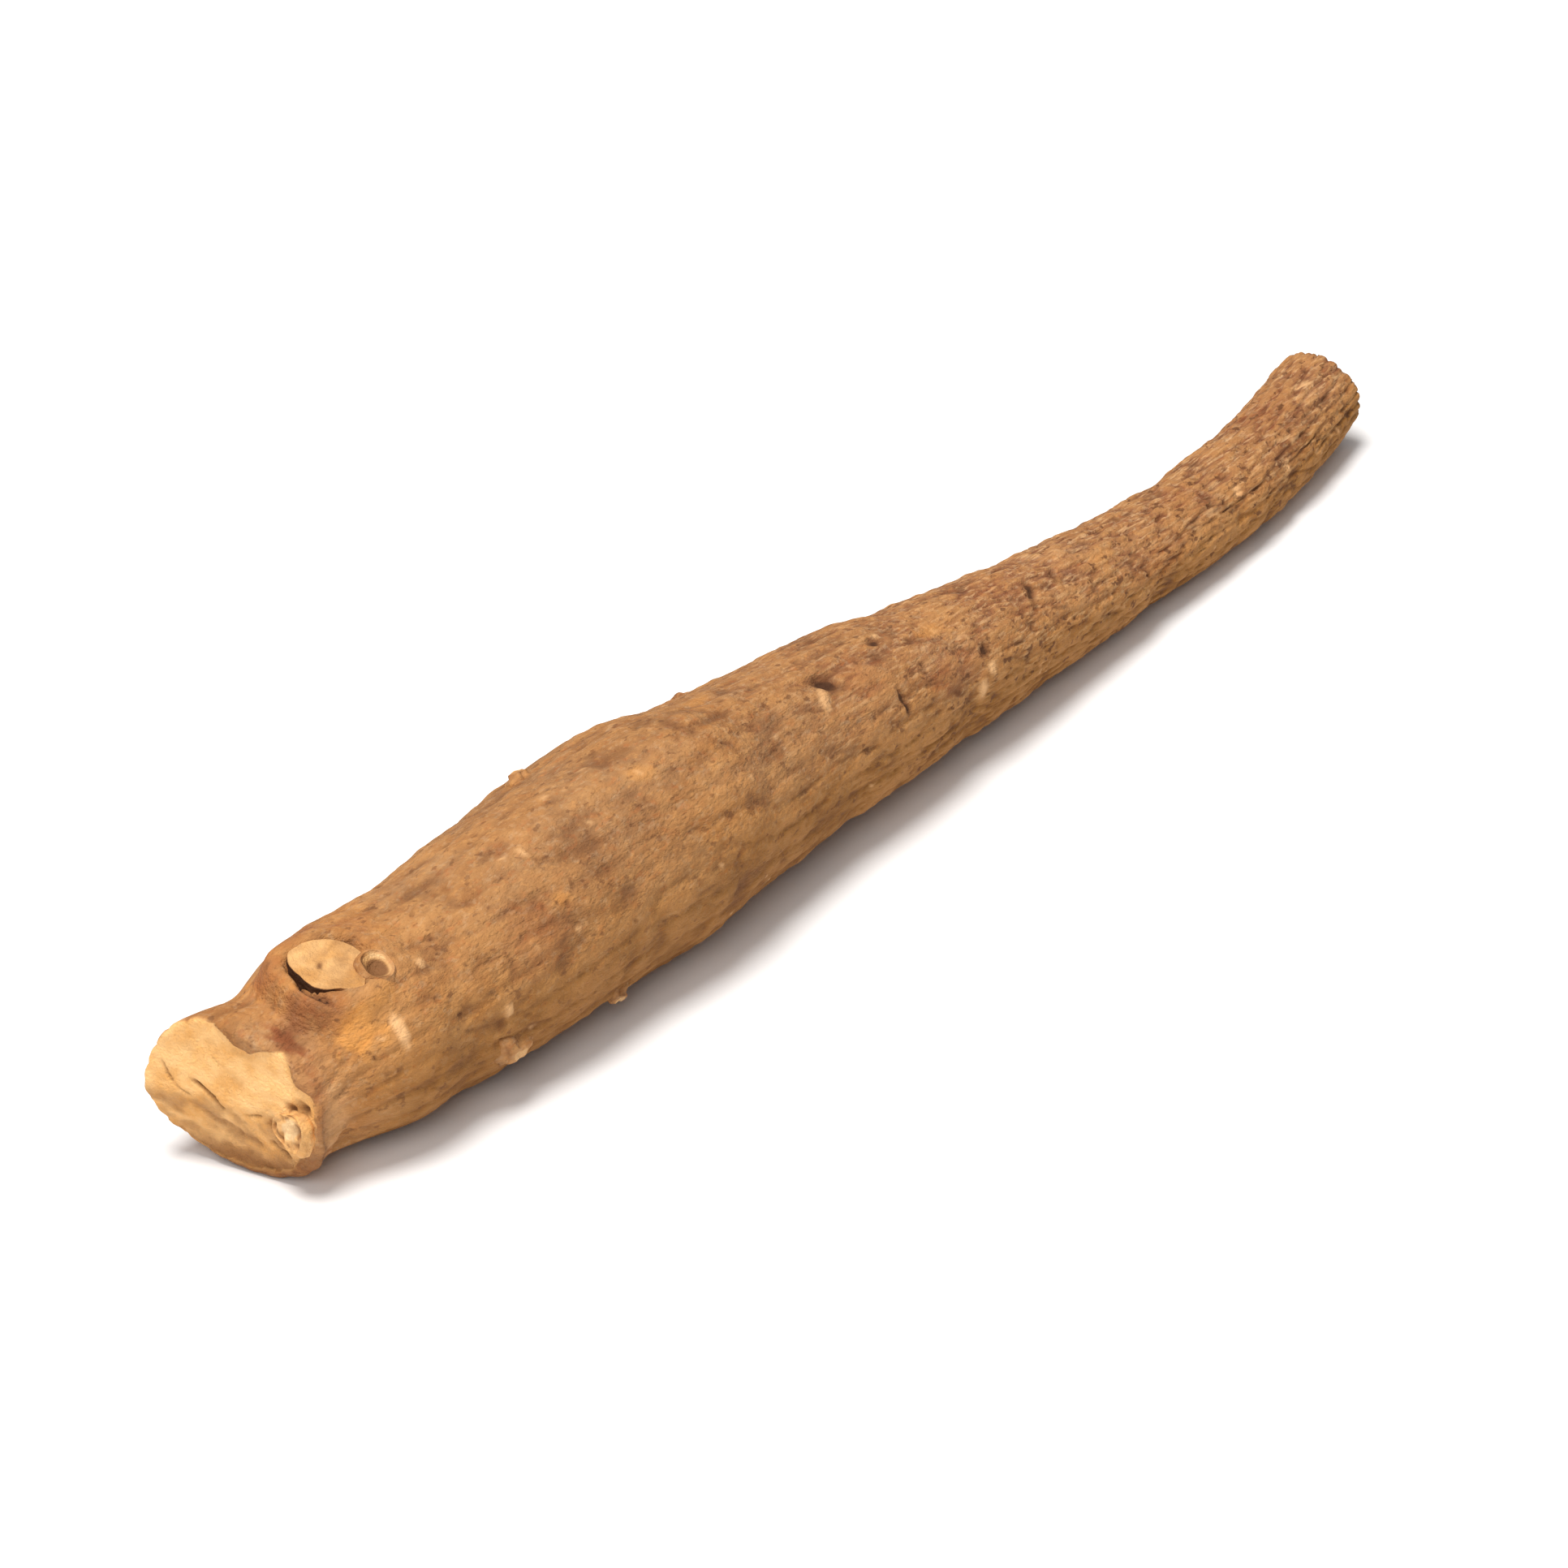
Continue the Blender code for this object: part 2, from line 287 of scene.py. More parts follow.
# The skin: how finely it is made, and the relief that lies on the broad form
skin = {
    "columns": 200,
    "faceRows": 34,
    "tailRows": 9,
    "edgeRound": 0.35,  # radius of the edge at each cut
    "edgeTurns": (0.45, 0.9, 1.3),
    "steps": [(0, 10, 0.22), (10, 16, 0.25), (16, 110, 0.36), (110, 144, 0.31)],
    # valleys along the root: length, width, depth at the crown, depth at the tail, narrowness, seed
    "wrinkles": [(9, 1, 0.02, 0.08, 0.1, 3), (5.5, 0.6, 0.02, 0.085, 0.12, 4)],
    "wrinkleRidge": 0.45,
    "wobble": (4.5, 0.7),  # size and reach of the wander of those valleys
    # grain: size, stretch along, height at the crown, height at the tail, seed
    "grains": [(3, 1.2, 0.12, 0.08, 6), (1.2, 1.6, 0.06, 0.05, 7), (0.6, 2.4, 0.045, 0.06, 8)],
    "pebbles": [(1.7, 1.4, 0.035, 0.04, 9), (0.9, 1.6, 0.045, 0.05, 10)],  # the same, with sharp valleys
    "pebbleRidge": 0.5,
    "furrowFill": 0.35,  # how far finer bark fills the furrows towards the tail
    "thickEnd": (35, 85),  # the bark changes from dappled to wrinkled between these
    "calmCrown": (0.45, 6, 16),  # share of the relief at the crown, where it rises and is full
    "underShade": (-0.55, 1, 0.15),  # painted shade on the underside: heights round the root where it is full and ends, and its unevenness
    # where that painted shade on the underside begins and is full along the root
    "underShadeStart": (1, 12),
    "cavity": (0.6, 0.24),  # painted shade in hollows and painted light on ridges: share of the furrows in it, and the span of relief from 0 to 1
}

# What stands out on the bark: distance, angle, half-length, half-width, depth, tone, turn.
# A tone below 0 is dark and above 0 pale. The turn leans a mark round from the root's length.
marks = [
    # the second mark here, at 178, is a painted highlight where the neck turns to the light
    (2.8, 116, 1.1, 1.5, 0.16, -0.4, 30), (2.6, 178, 2.2, 2.6, 0, 0.34, 0),
    # the second and third marks here, at 215 and 262, are painted shade along the crown's lower edge
    (4.2, 208, 1.3, 1.8, 0.45, -0.1, 0), (0.4, 215, 1.4, 2.4, 0, -0.6, 0), (0.2, 262, 1.5, 6, 0, -0.6, 0),
    (9.5, 148, 0.36, 1.4, -0.1, 1, 0), (18.3, 177, 0.5, 0.6, 0.15, -0.8, 0),
    (19, 170, 0.5, 0.6, -0.22, 0.8, 0), (15.5, 115, 0.4, 0.3, 0.16, -1, 0),
    (32.5, 94, 0.35, 0.3, 0.12, -0.9, 0), (13.2, 124, 0.35, 0.4, -0.06, 0.8, 20),
    (26.9, 153, 0.35, 0.35, -0.08, 0.8, 0), (26.8, 107, 0.3, 0.5, -0.08, 0.7, 0),
    (62.6, 117, 1.4, 0.9, 0.45, -1, 35), (61, 123, 0.5, 1.3, -0.12, 0.7, 30),
    (59.1, 126, 0.6, 0.4, 0.14, -0.7, 20), (68.9, 148, 0.4, 1.6, 0.32, -1, -20),
    (70.1, 106, 0.8, 0.5, 0.24, -1, 0), (70.9, 101, 0.35, 0.3, -0.06, 0.8, 0),
    (72.6, 133, 0.5, 0.4, 0.2, -1, 0), (80.8, 143, 0.6, 0.65, 0.32, -1, 0),
    (81, 157, 0.5, 0.6, -0.08, 1, 0), (79.9, 171, 0.6, 0.8, -0.08, 1, 0),
    (90.2, 119, 0.55, 1.7, 0.36, -1, 40), (94.5, 112, 0.4, 1.1, 0.2, -0.8, 40),
    (107.7, 82, 0.5, 0.35, 0.16, -0.8, 0), (93.7, 206, 0.6, 0.4, 0.16, -0.8, 0),
    (121.8, 138, 0.5, 0.5, 0.18, 0.9, 0), (119.6, 139, 0.3, 0.35, 0.14, -1, 0),
    (117.5, 133, 0.3, 0.3, 0.12, -0.9, 0), (129.4, 159, 0.35, 0.35, -0.05, 0.9, 0),
    (134.5, 118, 0.3, 0.35, 0.14, -1, 0), (132.4, 124, 0.35, 0.3, 0.12, -0.9, 0),
    (138.5, 97, 1.3, 0.16, 0.05, 0.8, 25), (101, 96, 0.8, 0.3, 0.14, -0.7, 30),
    (104, 140, 0.5, 0.35, 0.14, -0.8, 0),
]

# Warm orange patches: distance, angle, half-length, half-width, strength
warmPatches = [(7.9, 136, 2, 1.8, 0.85), (9.4, 130, 1.1, 1, 0.5), (26.5, 136, 0.8, 0.6, 0.6),
               (6, 70, 2, 2.2, 0.5), (40, 112, 1.2, 0.8, 0.4), (51, 84, 1.6, 0.9, 0.4),
               (76.5, 112, 2.2, 0.8, 0.5), (17, 260, 2, 2.5, 0.6), (58, 300, 2.4, 1.4, 0.5),
               (101, 120, 2, 0.9, 0.35)]

# Reddish brown patches, given in the same way
plumPatches = [(6.2, 74, 1.7, 1.8, 0.75), (9.4, 66, 2.4, 1.5, 0.55), (12.4, 84, 1.6, 1.6, 0.45),
               (1, 158, 1.3, 3.6, 0.4), (2, 115, 1.6, 1.9, 1), (4.6, 108, 2, 1.3, 0.6),
               (6.5, 119, 1.5, 1.4, 0.45), (23.5, 145, 3.5, 2.6, 0.35), (66, 122, 2.6, 2.4, 0.4),
               (76.5, 146, 4, 1.8, 0.5), (88, 96, 4, 2.2, 0.3), (108, 152, 5, 1.6, 0.4),
               (116, 110, 3, 2, 0.45), (133, 84, 5, 2.4, 0.45), (75, 290, 5, 3, 0.5), (30, 20, 4, 3, 0.5)]

# Stretches where the bark is duskier: start, end, how softly it begins and ends, strength. The stretch from
# 46 to 74 is partly a painted shadow cast by other roots lying over this one.
duskAndShadowBands = [(19, 44, 5, 0.9), (46, 74, 5, 0.8), (104, 120, 5, 0.4), (128, 150, 5, 0.45)]
# how far their ends wander, and how even and uneven their strength is
duskSpread = {"wander": 3, "even": 0.75, "uneven": 0.6}

# Small pits and flecks all round the root: how many, half-lengths, half-widths, depth, tone
scatter = {
    "seed": 21,
    "kinds": [(420, (0.16, 0.38), (0.13, 0.27), 0.13, -0.95), (110, (0.5, 1.3), (0.12, 0.24), 0.1, -0.7),
              (150, (0.14, 0.36), (0.13, 0.32), -0.05, 0.75), (40, (0.2, 0.4), (0.5, 1.2), 0.1, -0.5)],
}

# The crown's cut: where the bark ends, as a share of the half-width, and what marks the wood
crown = {
    "halfWidth": 6.2,
    "barkEdge": [(0, 1.02), (30, 0.99), (58, 0.99), (74, 0.95), (86, 0.76), (102, 0.75), (112, 0.86),
                 (122, 1), (134, 0.93), (147, 0.83), (157, 0.95), (172, 0.94), (192, 0.94), (203, 0.86),
                 (220, 0.82), (236, 0.87), (250, 0.89), (278, 0.9), (300, 0.95), (320, 0.97), (345, 1)],
    "edgeNoise": 0.025,
    "barkProud": 0.3,
    "stain": 0.16,  # dark on the bark beside the cut
    "fibreTurn": 0.64,  # which way the fibres run over the cut
    "fibreStretch": 1.9,
    # relief everywhere, along the fibres, and on the broken half: height, size, seed
    "flatGrains": [(0.13, 2.2, 32), (0.02, 0.8, 34), (0.05, 0.45, 35)],
    "fibreGrains": [(0.06, 0.9, 33)],
    "brokenGrains": [(0.14, 0.8, 34), (0.06, 0.4, 38)],
    "brokenEdge": (-1.4, 0.4),  # heights on the cut between which the broken half begins
    "lowEdgeShade": (-5.4, -2.9),  # the same for the painted shade, in brown, at its lower edge
    "brown": (0.1, 0.6, 1.25),  # on the broken half evenly and in mottles, partly painted shade, and painted shade at the lower edge
    # cracks in the wood: two ends (sideways, upwards), half-width, depth
    "cracks": [((3.2, 0.9), (1, -0.9), 0.13, 0.45), ((5.4, 2), (4.6, 0.4), 0.1, 0.2),
               ((4.6, 0.4), (3.4, -0.6), 0.1, 0.15), ((3.4, -1.3), (1.4, -2.5), 0.3, 0.16),
               ((1.6, -2.2), (-1.6, -3.6), 0.34, 0.18), ((1.9, 3.1), (0.9, 2.6), 0.08, 0.1),
               ((-0.6, -0.9), (-1.9, -0.7), 0.11, 0.2), ((-2.2, -2.6), (-3.6, -4), 0.22, 0.35)],
    "crackShade": 2.4,  # painted shade: how fast a crack darkens with its depth
    # pits round the knot: sideways, upwards, half-width
    "pits": [(-5.1, 1.1, 0.42), (-5.25, -0.5, 0.42), (-3.4, -2.1, 0.42), (-2.75, -1, 0.36),
             (-4.1, 0.75, 0.3), (-5.2, -1.7, 0.3)],
    "pitDepth": 0.5,
    "pitWander": (0.7, 0.5),  # size and strength of the noise on their outline
}

# How a mark is felt: fully within a share of its oval, not at all beyond another, with a ragged edge
markEdge = {"full": 0.45, "none": 1.25, "ragged": 0.35, "farthest": 3.2}


def patch(x, angle, width, oval, ragged):
    # how much of an oval is felt: 1 in its middle, 0 outside it, with a ragged edge
    at, centre, halfLong, halfRound, turn = oval
    along, round_ = x - at, width * apart(angle, centre)
    c, s = math.cos(math.radians(turn)), math.sin(math.radians(turn))
    reach = np.hypot((c * along + s * round_) / halfLong, (c * round_ - s * along) / halfRound)
    return 1 - smooth(markEdge["full"], markEdge["none"], reach + markEdge["ragged"] * ragged)


def allMarks():
    # the marks that are listed, then the small ones that a seeded draw strews all round
    draw = np.random.default_rng(scatter["seed"])
    found = list(marks)
    for count, longs, rounds, depth, tone in scatter["kinds"]:
        for _ in range(count):
            at, centre = draw.uniform(4, run["length"] - 1), draw.uniform(0, 360)
            strength = draw.uniform(0.4, 1.0)
            found.append((at, centre, draw.uniform(*longs), draw.uniform(*rounds),
                          depth * strength, tone * strength, draw.uniform(-25, 25)))
    return found


def markLayers(x, angle, ragged):
    # relief of the marks, and how pale and dark they make the bark: depths add up, the strongest tone holds
    width = through(3, x)
    relief, pale, dark = np.zeros_like(x), np.zeros_like(x), np.zeros_like(x)
    for at, centre, halfLong, halfRound, depth, tone, turn in allMarks():
        near = np.abs(x[:, 0] - at) < markEdge["farthest"]
        oval = (at, centre, halfLong, halfRound, turn)
        felt = np.zeros_like(x)
        felt[near] = patch(x[near], angle[near], width[near], oval, ragged[near])
        relief -= depth * felt
        held = pale if tone > 0 else dark
        np.maximum(held, felt * abs(tone), out=held)
    return relief, pale, dark


def patchLayer(x, angle, patches, ragged):
    # the strongest of several patches at each point
    width, felt = through(3, x), np.zeros_like(x)
    for at, centre, halfLong, halfRound, strength in patches:
        oval = (at, centre, halfLong, halfRound, 0)
        felt = np.maximum(felt, strength * patch(x, angle, width, oval, ragged))
    return felt


def duskLayer(x, soft):
    # sum of the duskier stretches, one partly a painted shadow, their ends moved by a slow noise and their
    # strength uneven
    moved = x + duskSpread["wander"] * soft
    total = np.zeros_like(x)
    for start, end, fade, strength in duskAndShadowBands:
        begun = smooth(start - fade, start + fade, moved)
        total += strength * begun * (1 - smooth(end - fade, end + fade, moved))
    return np.clip(total * (duskSpread["even"] + duskSpread["uneven"] * soft), 0, 1)


def skinRows():
    # (distance, share of the half-width) of each row: out over the crown's cut, along, in over the tail's
    edge, turns, length = skin["edgeRound"], skin["edgeTurns"], run["length"]
    crownShare, tailShare = 1 - edge / through(3, 0.0), 1 - edge / through(3, length)
    rows = [(0.0, crownShare * n / skin["faceRows"]) for n in range(1, skin["faceRows"] + 1)]
    rows += [(edge * (1 - math.cos(t)), 1 - (1 - crownShare) * (1 - math.sin(t))) for t in turns]
    for start, end, step in skin["steps"]:
        count = round((end - start) / step)
        rows += [(start + (end - start) * n / count, 1.0) for n in range(count)]
    rows = [row for row in rows if row[1] < 1 or edge <= row[0] <= length - edge]
    rows += [(length - edge * (1 - math.cos(t)), 1 - (1 - tailShare) * (1 - math.sin(t)))
             for t in reversed(turns)]
    rows += [(length, tailShare * n / skin["tailRows"]) for n in range(skin["tailRows"], 0, -1)]
    return np.array(rows)


def barkRelief(x, angle):
    # wrinkles are narrow valleys along the zero lines of a stretched noise, and grain is plain noise
    width = through(3, x)
    solid = np.stack([x, width * np.cos(angle), width * np.sin(angle)], -1)
    size, reach = skin["wobble"]
    wander = np.stack([np.zeros_like(x), cloud(solid, size, 1), cloud(solid, size, 2)], -1) * reach
    tailward = smooth(*skin["thickEnd"], x)
    relief = np.zeros_like(x)
    for length, across, crownDepth, tailDepth, narrow, seed in skin["wrinkles"]:
        line = cloud((solid + wander) / (length / across, 1, 1), across, seed)
        depth = crownDepth + (tailDepth - crownDepth) * tailward
        relief += depth * (skin["wrinkleRidge"] - np.exp(-(line / narrow) ** 2))
    for across, stretch, crownHeight, tailHeight, seed in skin["grains"]:
        height = crownHeight + (tailHeight - crownHeight) * tailward
        relief += height * cloud(solid / (stretch, 1, 1), across, seed)
    for across, stretch, crownHeight, tailHeight, seed in skin["pebbles"]:
        height = crownHeight + (tailHeight - crownHeight) * tailward
        line = cloud((solid + wander) / (stretch, 1, 1), across, seed)
        relief += height * (2 * np.abs(line) - skin["pebbleRidge"])
    relief -= skin["furrowFill"] * tailward * furrows(x, angle)
    least, start, end = skin["calmCrown"]
    return relief * (least + (1 - least) * smooth(start, end, x)), solid


def crackLine(sideways, upwards, crack, waver):
    # how much of a crack is felt: narrow across the line between its ends, tapering at both
    (y0, z0), (y1, z1), half = crack[:3]
    length = math.hypot(y1 - y0, z1 - z0)
    t = ((sideways - y0) * (y1 - y0) + (upwards - z0) * (z1 - z0)) / length ** 2
    off = ((sideways - y0) * (z1 - z0) - (upwards - z0) * (y1 - y0)) / length + 0.22 * waver
    taper = smooth(-0.12, 0.15, t) * (1 - smooth(0.85, 1.12, t))
    return taper * np.exp(-(off / half) ** 2)


def pitsFelt(sideways, upwards):
    # how much of any pit round the knot is felt: bells, each a little out of round
    felt = np.zeros_like(sideways)
    size, strength = crown["pitWander"]
    wander = strength * cloud(np.stack([sideways, upwards, np.zeros_like(sideways)], -1), size, 40)
    for y, z, half in crown["pits"]:
        felt = np.maximum(felt, np.exp(-(np.hypot(sideways - y, upwards - z) / half * (1 + wander)) ** 2))
    return felt


def grainSum(points, grains):
    # sum of noises, each with its height, size and seed
    return sum(height * cloud(points, size, seed) for height, size, seed in grains)


def crownFace(sideways, upwards):
    # relief of the cut wood, outwards, with its dark, painted shade in the cracks, and its browner lower
    # half, partly painted shade: fibres, cracks and pits
    flat = np.stack([sideways, upwards, np.zeros_like(sideways)], -1)
    c, s = math.cos(crown["fibreTurn"]), math.sin(crown["fibreTurn"])
    alongFibre = (c * sideways + s * upwards) / crown["fibreStretch"]
    fibres = np.stack([alongFibre, c * upwards - s * sideways, 0 * sideways], -1)
    waver = cloud(flat, 1.3, 31)
    broken = 1 - smooth(*crown["brokenEdge"], upwards + 0.4 * waver)
    mottled = smooth(-0.5, 0.5, cloud(flat, 1.5, 36) + 0.7 * cloud(fibres, 0.6, 37))
    # painted shade: brown along the cut's lower edge
    lowEdgeShade = 1 - smooth(*crown["lowEdgeShade"], upwards + 0.7 * waver)
    even, uneven, atEdge = crown["brown"]
    lower = np.maximum(broken * (even + uneven * mottled), atEdge * lowEdgeShade)
    relief = grainSum(flat, crown["flatGrains"]) + grainSum(fibres, crown["fibreGrains"])
    relief += broken * grainSum(flat, crown["brokenGrains"])
    dark = np.zeros_like(sideways)
    for crack in crown["cracks"]:
        felt, depth = crackLine(sideways, upwards, crack, waver), crack[3]
        relief -= depth * felt
        # painted shade: each crack darker with its depth
        dark = np.maximum(dark, felt * min(1.0, crown["crackShade"] * depth))
    pits = pitsFelt(sideways, upwards)
    relief -= crown["pitDepth"] * pits
    return relief, np.maximum(dark, pits), lower


# The bark round the knob
moat = {
    "proud": 0.06,  # how far its lip stands over the knob's cut
    "uneven": 0.06,
    "lip": (2.3, 1.02, 0.2),  # greatest rise, share of the cut's reach where it is full, how it fades
    "crackWaver": 0.5,
    "knobHollow": (0.86, 0.97),  # shares of the cut's reach where the hollow is full and ends
    "scarHollow": (0.6, 0.85, 0.8),  # the same for the scar, and its share of the depth
    "depth": 1.6,
    "crackDepth": 0.7,
    # painted shade: how fast the cracks at the knob's foot darken
    "crackShade": 1.6,
}


def knobMoat(x, angle):
    # cracks at the knob's foot on the crown's side, a lip that rises to the plane of its cut, and the
    # hollows that the knob and the scar fill
    at, where, half, height, _ = stubs["knob"]
    along = fromKnob(x, angle)[0]
    plane = knobPlane(x, angle, run["mound"][0] + height + moat["proud"])
    round_ = -plane * np.sin(apart(angle, where)) / half
    away = np.hypot(along, round_) / knobOutline(np.arctan2(round_, along))
    noise = cloud(np.stack([along * 3, round_ * 3, 0 * along], -1), 1.4, 62)
    plane += moat["uneven"] * noise
    most, full, fade = moat["lip"]
    rise = np.clip(plane - halfWidth(x, angle), 0.0, most)
    lip = rise * np.exp(-np.maximum(0.0, away - full) ** 2 / fade)
    crack = sum(crackLine(half * along, half * round_, ends, moat["crackWaver"] * noise)
                for ends in stubs["knobCracks"])
    at, where, half = stubs["scar"][:3]
    inScar = np.hypot(x - at, halfWidth(x, angle) * apart(angle, where)) / half
    full, end, share = moat["scarHollow"]
    hollow = np.maximum(1 - smooth(*moat["knobHollow"], away), share * (1 - smooth(full, end, inScar)))
    return np.minimum(crack, 1.0), lip, hollow


def crownCut(x, angle, share, sideways, upwards, solid):
    # the crown's cut: bark comes over its edge in places and stands proud, and the wood inside has its own
    # relief. It gives the wood's mask, the rise outwards, the stain beside the cut, and the wood's look
    way, reach = np.array(crown["barkEdge"]).T
    edge = np.interp(np.degrees(angle), way, reach, period=360) + crown["edgeNoise"] * cloud(solid, 1.0, 42)
    beyond = share + np.maximum(x - skin["edgeRound"], 0) / crown["halfWidth"] - edge
    wood = np.where(x < 1.5, 1 - smooth(-0.02, 0.02, beyond), 0.0)
    relief, dark, lower = crownFace(sideways, upwards)
    bark = crown["barkProud"] * (1 - wood) * smooth(0.5, 0.8, share) * (1 - smooth(0.93, 1.0, share))
    outwards = (1 - smooth(0.0, skin["edgeRound"], x)) * (relief * wood + bark)
    stain = np.exp(-np.maximum(0.0, beyond * crown["halfWidth"]) ** 2 / 0.8)
    stain *= (x < 4) * (np.sin(angle) > -0.3)
    return wood, outwards, crown["stain"] * stain, relief, dark, lower * (x < 2)


# The tail's cut: its relief, and the shares of the half-width where that and the wood fade out
tailLook = {
    "grains": [(0.12, 1.6, 51), (0.06, 0.5, 52)],  # height, size, seed
    "calmEdge": (0.85, 1.0),
    "woodEdge": (0.86, 0.94),
}


def tailCut(x, share, sideways, upwards, ragged):
    # the tail's cut: the wood's mask within a ring of bark, and its rise outwards
    onTail = smooth(run["length"] - skin["edgeRound"], run["length"], x)
    relief = grainSum(np.stack([sideways, upwards, 0 * x + 50.0], -1), tailLook["grains"])
    wood = onTail * (1 - smooth(*tailLook["woodEdge"], share + 0.04 * ragged))
    return wood, onTail * relief * (1 - smooth(*tailLook["calmEdge"], share))


def rootSkin(material):
    # rings of points from the middle of the crown's cut, along the skin and to the middle of the tail's:
    # each stands at its share of the half-width, and its relief, from the middle line
    rows, columns = skinRows(), skin["columns"]
    x, share = np.repeat(rows[:, :1], columns, 1), np.repeat(rows[:, 1:], columns, 1)
    angle = np.repeat(np.linspace(0, 2 * math.pi, columns, endpoint=False)[None], len(rows), 0)
    relief, solid = barkRelief(x, angle)
    ragged = cloud(solid, 0.9, 41)
    soft = cloud(solid, 9.0, 43) + 0.5 * cloud(solid, 4.0, 44)
    markRelief, pale, dark = markLayers(x, angle, ragged)
    # painted shade: the bark is made darker on the root's underside and lower flank, where shade falls
    low, high, uneven = skin["underShade"]
    underShade = (1 - smooth(low, high, np.sin(angle) + uneven * soft)) * smooth(*skin["underShadeStart"], x)

    crack, lip, hollow = knobMoat(x, angle)
    radial = relief + markRelief - moat["crackDepth"] * crack + lip - moat["depth"] * hollow
    reach = halfWidth(x, angle) * share + radial * smooth(0.9, 1.0, share)
    sideways, upwards = reach * np.cos(angle), reach * np.sin(angle)
    centre, along, side, up = spine(x + setBack(sideways, upwards, x))
    points = centre + sideways[..., None] * side + upwards[..., None] * up

    atCrown = crownCut(x, angle, share, sideways, upwards, solid)
    wood, outwards, stain, faceRelief, faceDark, faceLower = atCrown
    points -= outwards[..., None] * along
    # painted shade in the cracks at the knob's foot
    dark = np.maximum(dark, np.minimum(1.0, moat["crackShade"] * crack))
    dark = np.where(wood > 0.5, faceDark, np.maximum(dark, stain))
    tailWood, outwards = tailCut(x, share, sideways, upwards, ragged)
    points += outwards[..., None] * along
    wood = np.maximum(wood, tailWood)
    points[..., 2] = np.maximum(points[..., 2], 0.0)  # worn flat where it would go below the floor

    # painted shade and light: the cavity layer makes hollows darker and ridges lighter
    furrowShare, span = skin["cavity"]
    cavity = np.clip(0.5 + (relief + furrowShare * furrows(x, angle)) / span, 0, 1)
    layers = {
        "wood": wood, "dark": dark, "pale": pale, "reach": x / run["length"], "dusk": duskLayer(x, soft),
        "warm": patchLayer(x, angle, warmPatches, 2 * ragged),
        "plum": patchLayer(x, angle, plumPatches, 1.5 * ragged),
        "cavity": np.where(wood > 0.5, np.clip(0.55 + faceRelief / 0.5, 0, 1), cavity),
        "lower": np.where(wood > 0.5, faceLower, underShade)}
    layers = {name: withEnds(value) for name, value in layers.items()}
    points = np.concatenate([points.reshape(-1, 3), [points[0].mean(0), points[-1].mean(0)]])
    piece = newPiece("rootSkin", points, closedGrid(len(rows), columns), layers, material)
    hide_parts("root")


def withEnds(value):
    # a layer's values in one row, and the means of its first and last rings for the points at the ends
    return np.append(value.ravel(), [value[0].mean(), value[-1].mean()])


# What all stubs share: the side's top and flare, the turns of the rim, and the noise on them
stubShape = {
    "sideTop": 0.86,
    "flare": (0.15, 0.28),
    "rimTurns": (0.25, 0.6, 0.95, 1.25),
    "rimTop": (0.1, 0.3, 0.6, 0.9),
    "waveWide": (0.1, 0.6),
    "sideNoise": 0.03,
    "woodEdge": 0.05,
    "woodNoise": 0.06,
}


def stubGrid(base, out, level, half, height, seed, look):
    # rings about an axis: a sunk foot, a flared side, a rounded rim, then in over the cut
    turn = np.linspace(0, 2 * math.pi, look["columns"], endpoint=False)[None]
    across = unit(np.cross(out, level))
    level = np.cross(across, out)
    sideTop, (flareStart, flareFade) = stubShape["sideTop"], stubShape["flare"]
    sideRise = np.linspace(-stubs["sunk"] / height, sideTop, look["sideRows"])
    sideWidth = 1.0 + look["flare"] * np.exp(-np.maximum(0, sideRise + flareStart) / flareFade)
    rim = np.array(stubShape["rimTurns"])
    rimWidth = sideWidth[-1] - look["rim"] * (1 - np.cos(rim))
    rimRise = sideTop + (1 - sideTop) * np.sin(rim) / math.sin(rim[-1])
    inShare = np.linspace(1, 0, look["topRows"] + 1)[1:-1]
    rise = np.concatenate([sideRise, rimRise, np.ones(len(inShare))])[:, None]
    wide = np.concatenate([sideWidth, rimWidth, rimWidth[-1] * inShare])[:, None]
    top = np.concatenate([np.zeros(len(sideRise)), stubShape["rimTop"], np.ones(len(inShare))])[:, None]

    local = np.stack([half * wide * np.cos(turn), half * wide * np.sin(turn), height * rise + 0 * turn], -1)
    if "outline" in look:
        local[..., :2] *= look["outline"](turn)[..., None]
    wave = look["wave"] * cloud(local * (1, 1, 0.3), half * 0.9, seed)
    local[..., :2] *= (1 + wave * smooth(*stubShape["waveWide"], wide))[..., None]
    fibre = look["fibre"] * (cloud(local, 0.7, seed + 1) + 0.6 * cloud(local, 0.35, seed + 2))
    local[..., 2] += top * fibre - top * look["dish"] * (1 - wide ** 2)
    rough = (1 - top) * stubShape["sideNoise"] * cloud(local, 0.6, seed + 3)
    local[..., :2] *= (1 + rough)[..., None]
    reach = wide + stubShape["woodNoise"] * cloud(local, 0.8, seed + 4)
    low, high = look["woodShare"] - stubShape["woodEdge"], look["woodShare"] + stubShape["woodEdge"]
    wood = top * (1 - smooth(low, high, reach))
    return {
        "points": base + local[..., :1] * level + local[..., 1:2] * across + local[..., 2:] * out,
        "foot": base - stubs["sunk"] * out,
        "middle": base + (height - look["dish"]) * out,
        "wood": np.ones_like(wood) if look.get("allWood") else wood,
        "cavity": np.clip(0.5 + (fibre + 0.02) / 0.2, 0, 1),
        "wide": wide, "local": local, "top": top}


